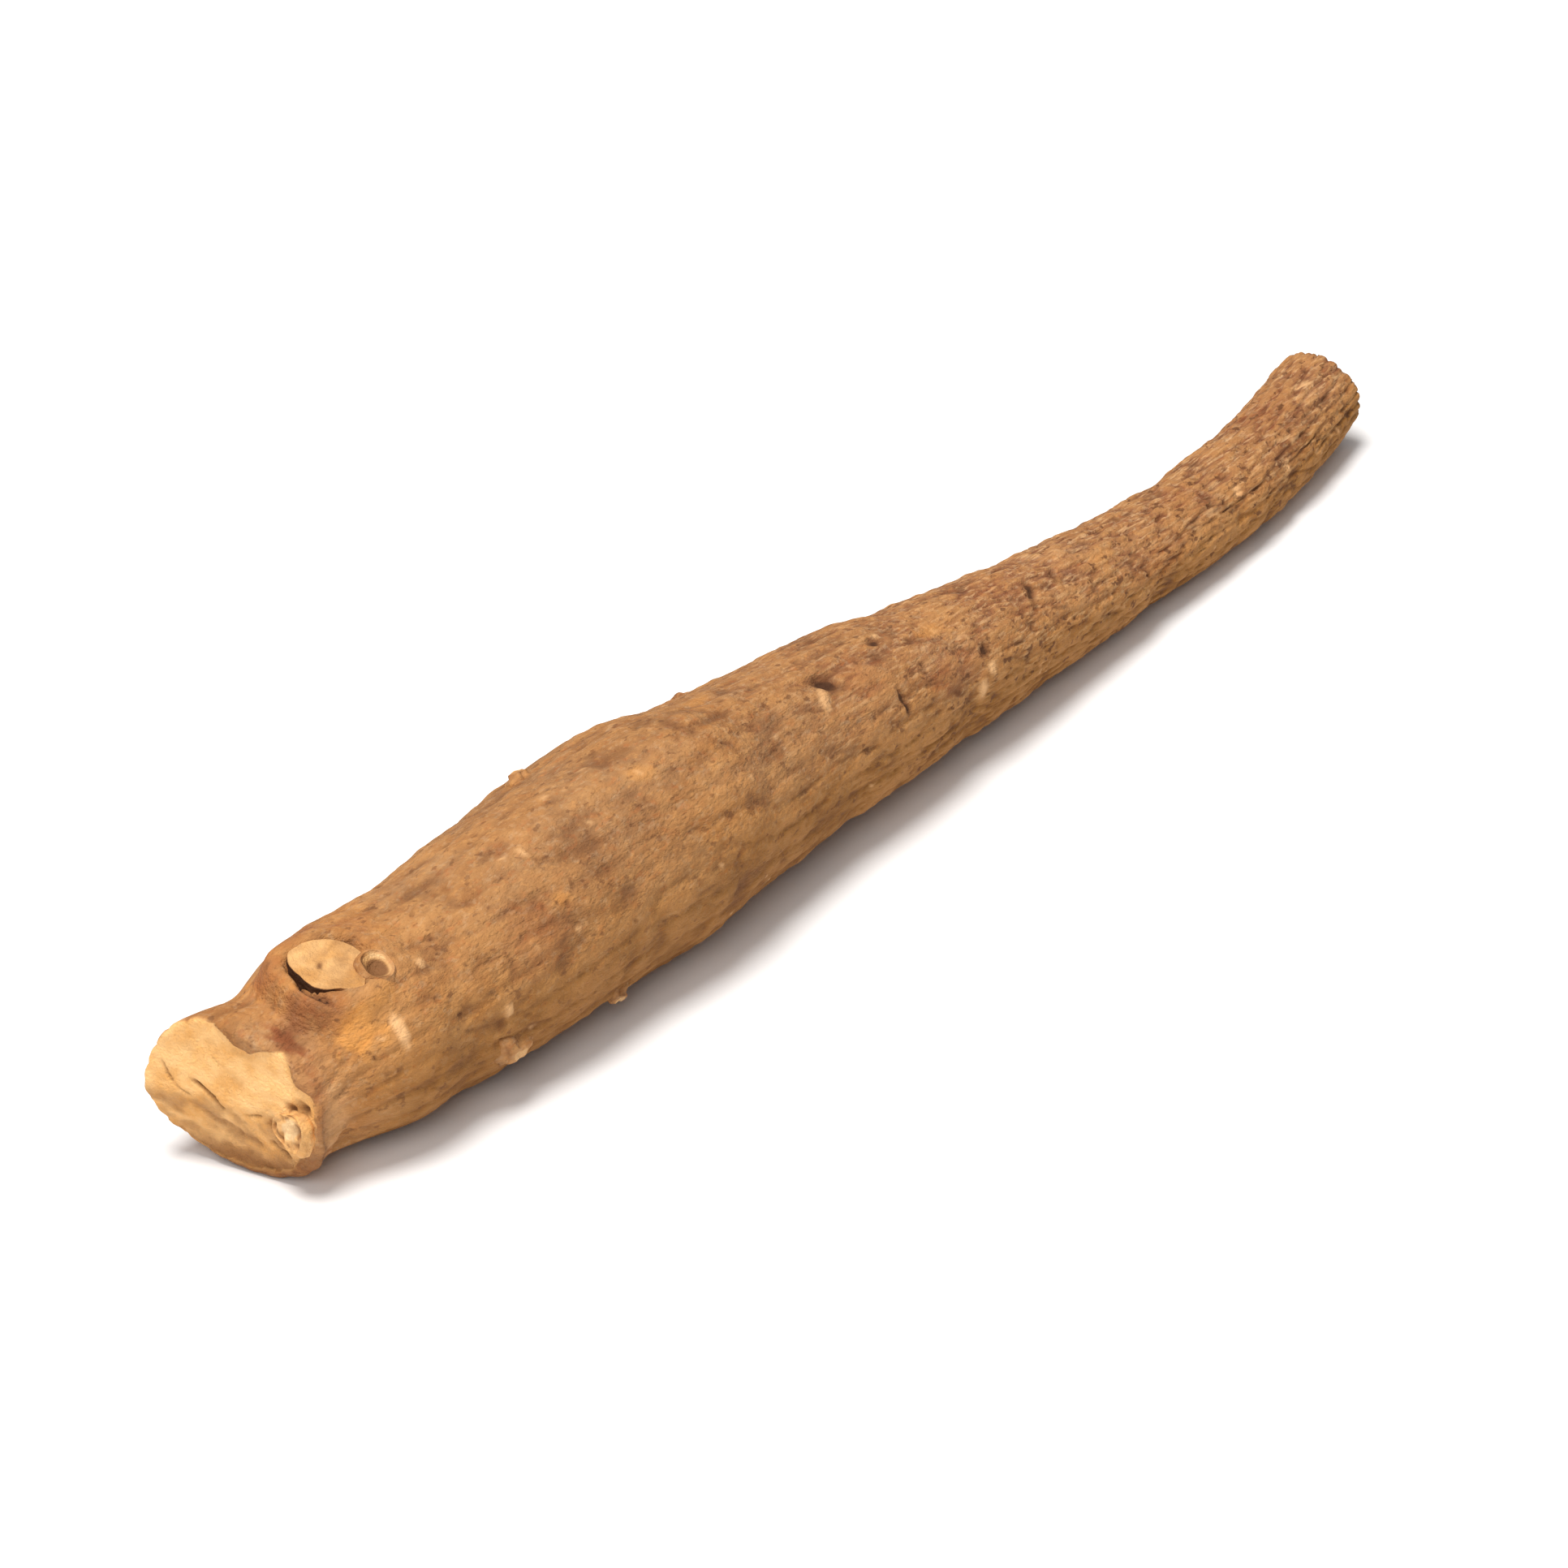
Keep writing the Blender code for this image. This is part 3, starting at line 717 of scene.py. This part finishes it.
def stubPiece(name, parts, material):
    # one mesh out of several closed stubs, each with its own layers; a layer that isn't given is 0
    names = ("wood", "dark", "pale", "warm", "dusk", "plum", "cavity", "lower", "reach")
    points, faces, layers = [], [], {key: [] for key in names}
    count = 0
    for grid, given in parts:
        rows, columns = grid["points"].shape[:2]
        faces += closedGrid(rows, columns, count)
        points += [grid["points"].reshape(-1, 3), np.array([grid["foot"], grid["middle"]])]
        values = {"wood": grid["wood"], "cavity": grid["cavity"], **given}
        for key in names:
            layers[key].append(withEnds(np.broadcast_to(values.get(key, 0.0), (rows, columns))))
        count += rows * columns + 2
    layers = {key: np.concatenate(value) for key, value in layers.items()}
    newPiece(name, np.concatenate(points), faces, layers, material)


def standing(at, angle, lean, raised=0.0):
    # foot of a stub on the skin, the way it points, and the way along the root
    here, turn, lean = np.array(float(at)), np.array(math.radians(angle)), math.radians(lean)
    centre, along, side, up = spine(here + setBack(0.0, 0.0, here))
    out = math.cos(turn) * side + math.sin(turn) * up
    foot = centre + (halfWidth(here, turn) + raised) * out
    return foot, math.cos(lean) * out + math.sin(lean) * along, along


# The side root cut off short
knobLook = {
    "columns": 72, "sideRows": 14, "topRows": 20, "flare": 0.0, "wave": 0.03, "rim": 0.04,
    "outline": knobOutline, "fibre": 0.045, "dish": 0.12, "woodShare": 1.06,
    "dot": ((-0.45, 0.3), (0.78, 0.63), (0.55, 0.3)),  # place, direction, half-length and half-width
    "crack": (0.25, 0.7, 0.14, 0.5),  # slope, place round, half-width, strength
    "pointAt": -54.0,  # the way to the cut's point, in degrees
    "brown": (0.5, 0.34, 0.3),  # everywhere, more towards the point, unevenly
    "shadedWall": (0.6, 1.6),  # how far towards the crown the painted shade on the wall begins and is full
}


def knobCut(material):
    # a dot and a faint crack on the cut, browner towards its point; its wall is painted dark above the
    # cracks, as shade in them
    at, angle, half, height, lean = stubs["knob"]
    grid = stubGrid(*standing(at, angle, lean), half, height, 61, knobLook)
    along, round_, top = grid["local"][..., 0], grid["local"][..., 1], grid["top"]
    (dotAlong, dotRound), (c, s), (dotLong, dotWide) = knobLook["dot"]
    a, r = along - dotAlong, round_ - dotRound
    dot = np.exp(-((c * a + s * r) / dotLong) ** 2 - ((c * r - s * a) / dotWide) ** 2) * top
    slope, place, width, strength = knobLook["crack"]
    crack = np.exp(-((round_ - slope * along - place) / width) ** 2) * strength * top
    crack *= smooth(0.2, 1.2, along)
    way = math.radians(knobLook["pointAt"])
    toPoint = along * math.cos(way) + round_ * math.sin(way)
    even, more, uneven = knobLook["brown"]
    brown = even + more * smooth(-0.6, 2.8, toPoint) + uneven * cloud(grid["local"], 1.0, 66)
    # painted shade on the side wall, where it shows in the cracks at the knob's foot
    wallShade = (1 - top) * smooth(*knobLook["shadedWall"], -along)
    look = {"dark": np.maximum(np.maximum(dot, crack), wallShade), "lower": brown * grid["wood"],
            "reach": at / run["length"]}
    stubPiece("knobCut", [(grid, look)], material)


# The scar beside it
scarLook = {
    "columns": 40, "sideRows": 9, "topRows": 12, "flare": 0.22, "wave": 0.14, "rim": 0.1, "fibre": 0.05,
    "dish": 0.7, "woodShare": 0.84,
    "hollow": (0.55, 0.85, 0.1),  # shares of the half-width where the painted shade in the hollow is full and ends, and its lean
    "shade": (-0.7, 0.2, 0.3, 0.85),  # from, to, lean and strength of the painted shade on the crown's side
    "paleRim": 0.3,
    "brown": 0.3,
}


def scarCollar(material):
    # a low collar round a hollow painted dark as shade, with painted shade on the crown's side too, and paler
    # on the tail's
    at, angle, half, height, lean = stubs["scar"]
    raised = knobMoat(np.array(at), np.array(math.radians(angle)))[1]
    grid = stubGrid(*standing(at, angle, lean, raised), half, height, 71, scarLook)
    along, round_ = grid["local"][..., 0], grid["local"][..., 1]
    full, end, tilt = scarLook["hollow"]
    # painted shade in the hollow, then on the crown's side
    inner = 1 - smooth(full, end, grid["wide"] + tilt * round_)
    start, stop, tilt, strength = scarLook["shade"]
    shaded = np.maximum(inner, strength * (1 - smooth(start, stop, along + tilt * round_)))
    look = {"dark": shaded * grid["top"], "pale": scarLook["paleRim"] * (1 - inner) * smooth(0, 0.4, along),
            "lower": scarLook["brown"] * grid["wood"], "reach": at / run["length"]}
    stubPiece("scarCollar", [(grid, look)], material)


def rootletOutline(turn):
    # broken off unevenly: longer one way than the other, with a corner
    return 1 + 0.28 * np.cos(2 * turn + 0.4) + 0.12 * np.cos(3 * turn)


# The rootlets broken off
rootletLook = {
    "columns": 24, "sideRows": 9, "topRows": 6, "flare": 0.6, "wave": 0.5, "rim": 0.5, "fibre": 0.1,
    "dish": -0.12, "woodShare": 0.55, "outline": rootletOutline,
    "pale": 0.2,
    "brown": 0.5,
}


def rootletStubs(material):
    # low uneven stubs with a little bare wood on top of each
    parts = []
    for n, (at, angle, half, height, lean) in enumerate(stubs["rootlets"]):
        grid = stubGrid(*standing(at, angle, lean), half, height, 80 + 7 * n, rootletLook)
        parts.append((grid, {"pale": rootletLook["pale"] * grid["top"], "reach": at / run["length"],
                             "lower": rootletLook["brown"] * grid["wood"]}))
    stubPiece("rootletStubs", parts, material)


# The knot at the crown's cut
knotLook = {
    "columns": 56, "sideRows": 12, "topRows": 16, "flare": 0.25, "wave": 0.3, "rim": 0.1, "fibre": 0.15,
    "dish": 0.16, "woodShare": 3.0, "allWood": True,
    "pitDepth": 0.4,
    "ring": (0.8, 0.72, 0.16),  # strength, place and width of the broken dark ring
    "core": (0.3, 0.5, 0.55),  # shares of the half-width where the pale core is full and ends, strength
    "brown": 0.25,
}


def crownKnot(material):
    # a rough boss with a pale core, a broken dark ring round it, and pits sunk at its edge
    sideways, upwards, half, height = stubs["knot"]
    centre, along, side, up = spine(np.array(setBack(sideways, upwards, 0.0)))
    base = centre + sideways * side + upwards * up
    grid = stubGrid(base, -along, up, half, height, 91, knotLook)
    local, top = grid["local"], grid["top"]
    wide = grid["wide"] + 0 * local[..., 0]
    pits = pitsFelt(sideways + local[..., 1], upwards + local[..., 0])
    grid["points"] += knotLook["pitDepth"] * (pits * top)[..., None] * along
    strength, place, width = knotLook["ring"]
    ring = strength * np.exp(-((wide - place) / width) ** 2) * smooth(0.0, 0.3, cloud(local, 0.6, 95))
    full, end, most = knotLook["core"]
    pale = smooth(0.0, 0.5, cloud(local, 0.8, 97)) * (1 - smooth(0.5, 0.9, wide))
    pale += 1 - smooth(full, end, wide)
    look = {"dark": np.maximum(pits, ring) * top, "pale": np.clip(pale, 0, most) * top,
            "lower": knotLook["brown"] * grid["wood"], "reach": 0.0}
    stubPiece("crownKnot", [(grid, look)], material)


# Node helpers
def addNode(tree, kind, inputs=(), **settings):
    # one node, its settings, and its inputs as (socket, value or another node's output)
    node = tree.nodes.new(kind)
    for name, value in settings.items():
        setattr(node, name, value)
    for socket, value in inputs:
        if isinstance(value, bpy.types.NodeSocket):
            tree.links.new(value, node.inputs[socket])
        else:
            node.inputs[socket].default_value = value
    return node


def newGroup(name, inputs, outputs):
    # an empty node group, with what it is given and what it puts out as name: kind of socket
    tree = bpy.data.node_groups.new(name, "ShaderNodeTree")
    for way, sockets in (("INPUT", inputs), ("OUTPUT", outputs)):
        for socket, kind in sockets.items():
            tree.interface.new_socket(socket, in_out=way, socket_type="NodeSocket" + kind)
    return tree, tree.nodes.new("NodeGroupInput").outputs, tree.nodes.new("NodeGroupOutput").inputs


def useGroup(tree, group, **values):
    return addNode(tree, "ShaderNodeGroup", values.items(), node_tree=group)


def mixed(tree, amount, first, second):
    # first where the amount is 0, second where it is 1
    sockets = [(0, amount), (6, first), (7, second)]
    return addNode(tree, "ShaderNodeMix", sockets, data_type="RGBA").outputs[2]


def maths(tree, operation, first, second):
    return addNode(tree, "ShaderNodeMath", [(0, first), (1, second)], operation=operation).outputs[0]


def ranged(tree, value, low=0.0, high=1.0, bottom=0.0, top=1.0, curve="LINEAR"):
    # bottom at low and top at high, with an even rise or an S-shaped one between, held at both ends
    sockets = [("Value", value), ("From Min", low), ("From Max", high), ("To Min", bottom), ("To Max", top)]
    return addNode(tree, "ShaderNodeMapRange", sockets, interpolation_type=curve).outputs["Result"]


def grainGroup():
    # noise of one size in millimetres, stretched along the root, cut between a low and a high value
    numbers = dict.fromkeys(("Size", "Along", "Low", "High", "Shift"), "Float")
    tree, given, put = newGroup("grainPattern", {"Vector": "Vector", **numbers}, {"Value": "Float"})
    across = maths(tree, "DIVIDE", 1000.0, given["Size"])
    along = maths(tree, "DIVIDE", across, given["Along"])
    scale = addNode(tree, "ShaderNodeCombineXYZ", [(0, along), (1, across), (2, across)]).outputs[0]
    place = given["Vector"]
    for value, operation in ((scale, "MULTIPLY"), (given["Shift"], "ADD")):
        node = addNode(tree, "ShaderNodeVectorMath", [(0, place), (1, value)], operation=operation)
        place = node.outputs[0]
    look = [("Vector", place), ("Scale", 1.0), ("Detail", 3.0), ("Roughness", 0.55)]
    noise = addNode(tree, "ShaderNodeTexNoise", look)
    cut = ranged(tree, noise.outputs["Fac"], given["Low"], given["High"], curve="SMOOTHSTEP")
    tree.links.new(cut, put["Value"])
    return tree


# Colours of the bark
barkTones = {
    "deep": (0.13, 0.048, 0.018, 1), "brown": (0.335, 0.135, 0.04, 1), "dust": (0.54, 0.26, 0.088, 1),
    "grey": (0.38, 0.202, 0.084, 1), "orange": (0.52, 0.205, 0.045, 1), "warm": (0.8, 0.34, 0.07, 1),
    "tail": (0.455, 0.188, 0.1, 1), "pale": (0.74, 0.42, 0.19, 1), "dusk": (0.245, 0.118, 0.048, 1),
    # the underside and flank tones are painted shade for the root's low side
    "plum": (0.24, 0.06, 0.02, 1), "underShade": (0.185, 0.07, 0.012, 1), "ash": (0.55, 0.37, 0.215, 1),
    "rust": (0.4, 0.115, 0.03, 1), "flankShade": (0.39, 0.165, 0.014, 1),
    "umber": (0.21, 0.072, 0.032, 1), "thread": (0.66, 0.4, 0.2, 1),
    # gap is painted shade at the bottom of the darkest pits and cracks
    "gap": (0.03, 0.012, 0.006, 1),
}
# grains of the bark: name, size in millimetres, stretch along, and the noise where each begins and is full
barkGrains = [("cloud", 11.0, 1.6, 0.42, 0.6), ("shade", 7.0, 1.8, 0.45, 0.62),
              ("dapple", 1.2, 1.2, 0.36, 0.64), ("blotch", 5.0, 1.3, 0.4, 0.62),
              ("flush", 3.1, 1.2, 0.54, 0.7), ("ash", 0.5, 1.4, 0.53, 0.66),
              ("rust", 0.62, 1.6, 0.56, 0.68), ("fleck", 0.55, 1.8, 0.36, 0.64),
              ("streak", 0.42, 4.5, 0.4, 0.64), ("crumbs", 0.42, 1.3, 0.56, 0.68),
              ("specks", 0.7, 1.5, 0.6, 0.68), ("patches", 2.3, 1.5, 0.49, 0.64),
              ("clearings", 1.8, 1.6, 0.54, 0.68), ("rough", 1.1, 2.6, 0.4, 0.62),
              ("slits", 0.34, 6.0, 0.47, 0.62), ("threads", 0.3, 7.0, 0.52, 0.66)]
barkMasks = ("Cavity", "Reach", "Warm", "Dusk", "Plum", "Lower", "Dark", "Pale")
# what is laid over the base, in order: where, strength at the crown, strength at the tail, tone
barkLaid = [
    ("tailward", 0.0, 0.55, "tail"), ("crownward", 0.45, 0.0, "orange"), ("cloud", 0.35, 0.4, "dusk"),
    ("shade", 0.26, 0.3, "ash"), ("blotch", 0.45, 0.35, "grey"), ("flush", 0.32, 0.3, "orange"),
    ("Dusk", 0.68, 0.6, "dusk"), ("patches", 0.1, 0.5, "umber"), ("clearings", 0.12, 0.5, "dust"),
    ("rough", 0.0, 0.55, "umber"), ("ash", 0.3, 0.5, "ash"), ("rust", 0.42, 0.5, "rust"),
    ("fleck", 0.36, 0.4, "brown"), ("streak", 0.3, 0.35, "dusk"), ("crumbs", 0.4, 0.62, "dust"),
    # Lower and below lay the painted shade of the underside
    ("slits", 0.0, 0.66, "umber"), ("threads", 0.0, 0.68, "thread"), ("Lower", 0.5, 0.8, "flankShade"),
    ("below", 0.66, 0.66, "underShade"), ("Warm", 0.62, 0.7, "warm"), ("Plum", 0.8, 0.8, "plum"),
    # raised and sunk paint light on ridges and shade in hollows
    ("raised", 0.3, 0.5, "dust"), ("sunk", 0.55, 0.8, "deep"), ("specks", 0.5, 0.8, "deep"),
    # Dark lays the dark marks and the painted shade of cracks and the knob's wall; hearts takes the darkest
    # of it, in pits and cracks, near black as painted shade
    ("Pale", 1.0, 1.0, "pale"), ("Dark", 0.85, 0.9, "deep"), ("hearts", 0.8, 0.6, "gap"),
]


def barkGroup(grain):
    # bark: two browns in dapples, then tone after tone laid over them by grains and by the skin's layers
    tree, given, put = newGroup("barkTone", {"Vector": "Vector", **dict.fromkeys(barkMasks, "Float")},
                                {"Color": "Color", "Height": "Float"})
    amounts = {}
    for n, (name, size, along, low, high) in enumerate(barkGrains):
        pattern = {"Size": size, "Along": along, "Low": low, "High": high, "Shift": 7.3 * n}
        amounts[name] = useGroup(tree, grain, Vector=given["Vector"], **pattern).outputs[0]
    amounts.update({name: given[name] for name in barkMasks})
    amounts["tailward"] = tailward = ranged(tree, given["Reach"], 0.28, 0.62)
    amounts["crownward"] = ranged(tree, given["Reach"], 0.13, 0.05)
    # below carries the painted shade of the underside
    amounts["below"] = ranged(tree, given["Lower"], 0.5, 1.0)
    # raised and sunk: painted light on ridges and painted shade in hollows
    amounts["raised"] = ranged(tree, given["Cavity"], 0.5, 0.95)
    amounts["sunk"] = ranged(tree, given["Cavity"], 0.5, 0.05)
    # hearts: painted shade near black at the darkest of the cracks and pits
    amounts["hearts"] = ranged(tree, given["Dark"], 0.8, 1.0)
    base = mixed(tree, amounts["dapple"], barkTones["brown"], barkTones["dust"])
    for where, atCrown, atTail, tone in barkLaid:
        strength = ranged(tree, tailward, bottom=atCrown, top=atTail)
        base = mixed(tree, maths(tree, "MULTIPLY", amounts[where], strength), base, barkTones[tone])
    tree.links.new(base, put["Color"])
    fine = useGroup(tree, grain, Vector=given["Vector"], Size=0.28, Along=2.0, Low=0.2, High=0.8).outputs[0]
    fleck = maths(tree, "MULTIPLY", amounts["fleck"], 0.4)
    tree.links.new(maths(tree, "ADD", maths(tree, "MULTIPLY", fine, 0.6), fleck), put["Height"])
    return tree


# Colours of the cut wood, and its grains: size in millimetres, and the noise where each begins and is full
woodTones = {
    "light": (0.92, 0.53, 0.21, 1), "gold": (0.8, 0.4, 0.12, 1), "brown": (0.29, 0.125, 0.04, 1),
    # deep is painted shade in the darkest cracks and pits
    "cream": (0.94, 0.7, 0.4, 1), "deep": (0.13, 0.05, 0.018, 1),
}
woodGrains = [(2.4, 0.36, 0.66), (0.5, 0.35, 0.7), (0.22, 0.2, 0.8)]
woodMasks = ("Cavity", "Lower", "Dark", "Pale")


def woodGroup(grain):
    # cut wood: light and golden in soft patches, brown in cracks and hollows as painted shade, and on the
    # broken half, partly painted shade
    tree, given, put = newGroup("woodTone", {"Vector": "Vector", **dict.fromkeys(woodMasks, "Float")},
                                {"Color": "Color", "Height": "Float"})
    patchy, fibre, fine = (
        useGroup(tree, grain, Vector=given["Vector"], Size=size, Along=1.0, Low=low, High=high).outputs[0]
        for size, low, high in woodGrains)
    speckled = maths(tree, "MULTIPLY", fibre, given["Lower"])
    # sunk: painted shade, brown in the cut's hollows
    sunk = ranged(tree, given["Cavity"], 0.5, 0.0)
    # hearts: painted shade near black at the darkest of the cracks and pits
    hearts = ranged(tree, given["Dark"], 0.55, 1.0)
    base = mixed(tree, patchy, woodTones["light"], woodTones["gold"])
    # what is laid over it, in order: where, strength, tone
    laid = [(fibre, 0.12, "cream"), (given["Lower"], 0.74, "brown"), (speckled, 0.45, "brown"),
            (sunk, 0.5, "brown"), (given["Pale"], 1.0, "cream"), (given["Dark"], 0.85, "brown"),
            (hearts, 0.65, "deep")]
    for amount, strength, tone in laid:
        base = mixed(tree, maths(tree, "MULTIPLY", amount, strength), base, woodTones[tone])
    tree.links.new(base, put["Color"])
    tree.links.new(fine, put["Height"])
    return tree


def layer(tree, name):
    # the values of one of the mesh's layers
    return addNode(tree, "ShaderNodeAttribute", attribute_type="GEOMETRY", attribute_name=name).outputs["Fac"]


def rootMaterial(name, bark, wood, finish):
    # bark and cut wood by the piece's own mask, with a bump from the finer grain of each
    material = bpy.data.materials.new(name)
    material.use_nodes = True
    tree = material.node_tree
    shader = tree.nodes["Principled BSDF"]
    mask = layer(tree, "wood")
    shared = {"Vector": addNode(tree, "ShaderNodeTexCoord").outputs["Object"]}
    shared.update({socket: layer(tree, socket.lower()) for socket in woodMasks})
    others = {socket: layer(tree, socket.lower()) for socket in barkMasks if socket not in woodMasks}
    outside = useGroup(tree, bark, **shared, **others).outputs
    inside = useGroup(tree, wood, **shared).outputs
    bumps = [(0, mask), (2, outside["Height"]), (3, inside["Height"])]
    height = addNode(tree, "ShaderNodeMix", bumps).outputs[0]
    bump = addNode(tree, "ShaderNodeBump", [("Height", height), ("Strength", finish["bump"]),
                                            ("Distance", finish["depth"] * mm)])
    tree.links.new(mixed(tree, mask, outside["Color"], inside["Color"]), shader.inputs["Base Color"])
    rough = ranged(tree, mask, bottom=finish["barkRough"], top=finish["woodRough"])
    tree.links.new(rough, shader.inputs["Roughness"])
    tree.links.new(bump.outputs["Normal"], shader.inputs["Normal"])
    shader.inputs["Specular IOR Level"].default_value = finish["specular"]
    return material


finishes = {
    "dryBark": {"barkRough": 0.88, "woodRough": 0.78, "bump": 0.8, "depth": 0.16, "specular": 0.25},
    "cutRoot": {"barkRough": 0.88, "woodRough": 0.74, "bump": 0.7, "depth": 0.12, "specular": 0.25},
}

grain = grainGroup()
bark, wood = barkGroup(grain), woodGroup(grain)
barkFinish, cutFinish = (rootMaterial(name, bark, wood, finish) for name, finish in finishes.items())
print("materials made")

rootSkin(barkFinish)
for makePiece in (knobCut, scarCollar, rootletStubs, crownKnot):
    makePiece(cutFinish)

# Floor, lights and camera
floorLook = {"half": 2.0, "colour": (0.9, 0.895, 0.9, 1), "rough": 0.9}


def makeFloor():
    # one square, pale and dull
    mesh = bpy.data.meshes.new("floor")
    h = floorLook["half"]
    mesh.from_pydata([(-h, -h, 0), (h, -h, 0), (h, h, 0), (-h, h, 0)], [], [(0, 1, 2, 3)])
    material = bpy.data.materials.new("paleFloor")
    material.use_nodes = True
    shader = material.node_tree.nodes["Principled BSDF"]
    shader.inputs["Base Color"].default_value = floorLook["colour"]
    shader.inputs["Roughness"].default_value = floorLook["rough"]
    mesh.materials.append(material)
    floor = placed("floor", mesh)


# name, place, size, watts, colour, and the point that it faces
lights = [
    ("overhead", (-0.24, 0.05, 0.87), 0.42, 9.2, (1.0, 0.985, 0.96), (0, 0, 0)),
    ("cameraSide", (-0.66, -0.26, 0.6), 0.5, 3.0, (1.0, 0.98, 0.95), (-0.02, 0, 0)),
]
skyLight = {"colour": (1.0, 0.995, 1.0, 1), "strength": 0.24}


def makeLights():
    # two round area lights, each turned to what it faces, and an even sky
    for name, place, size, watts, colour, target in lights:
        lamp = bpy.data.lights.new(name, "AREA")
        lamp.shape = "DISK"
        lamp.size, lamp.energy, lamp.color = size, watts, colour
        holder = placed(name, lamp)
        holder.location = place
        holder.rotation_euler = (Vector(target) - Vector(place)).to_track_quat("-Z", "Y").to_euler()
    world = bpy.data.worlds.new("sky")
    world.use_nodes = True
    back = world.node_tree.nodes["Background"]
    back.inputs["Color"].default_value = skyLight["colour"]
    back.inputs["Strength"].default_value = skyLight["strength"]
    bpy.context.scene.world = world


viewFrom = {
    "place": (-0.4215, -0.27922, 0.29982),
    "right": (0.57815, -0.81502, 0.03859),
    "up": (0.39694, 0.32227, 0.85941),
    "back": (-0.71287, -0.48155, 0.50984),
    "lens": 174.89,
}


def makeCamera():
    # the camera at its place, its three axes given as directions
    lens = bpy.data.cameras.new("camera")
    lens.lens = viewFrom["lens"]
    lens.clip_start, lens.clip_end = 0.01, 20.0
    camera = placed("camera", lens)
    turned = Matrix([viewFrom["right"], viewFrom["up"], viewFrom["back"]]).transposed()
    camera.matrix_world = Matrix.Translation(viewFrom["place"]) @ turned.to_4x4()
    bpy.context.scene.camera = camera


makeFloor()
makeLights()
makeCamera()
bpy.context.scene.view_settings.view_transform = "Standard"
print("floor, lights and camera made")
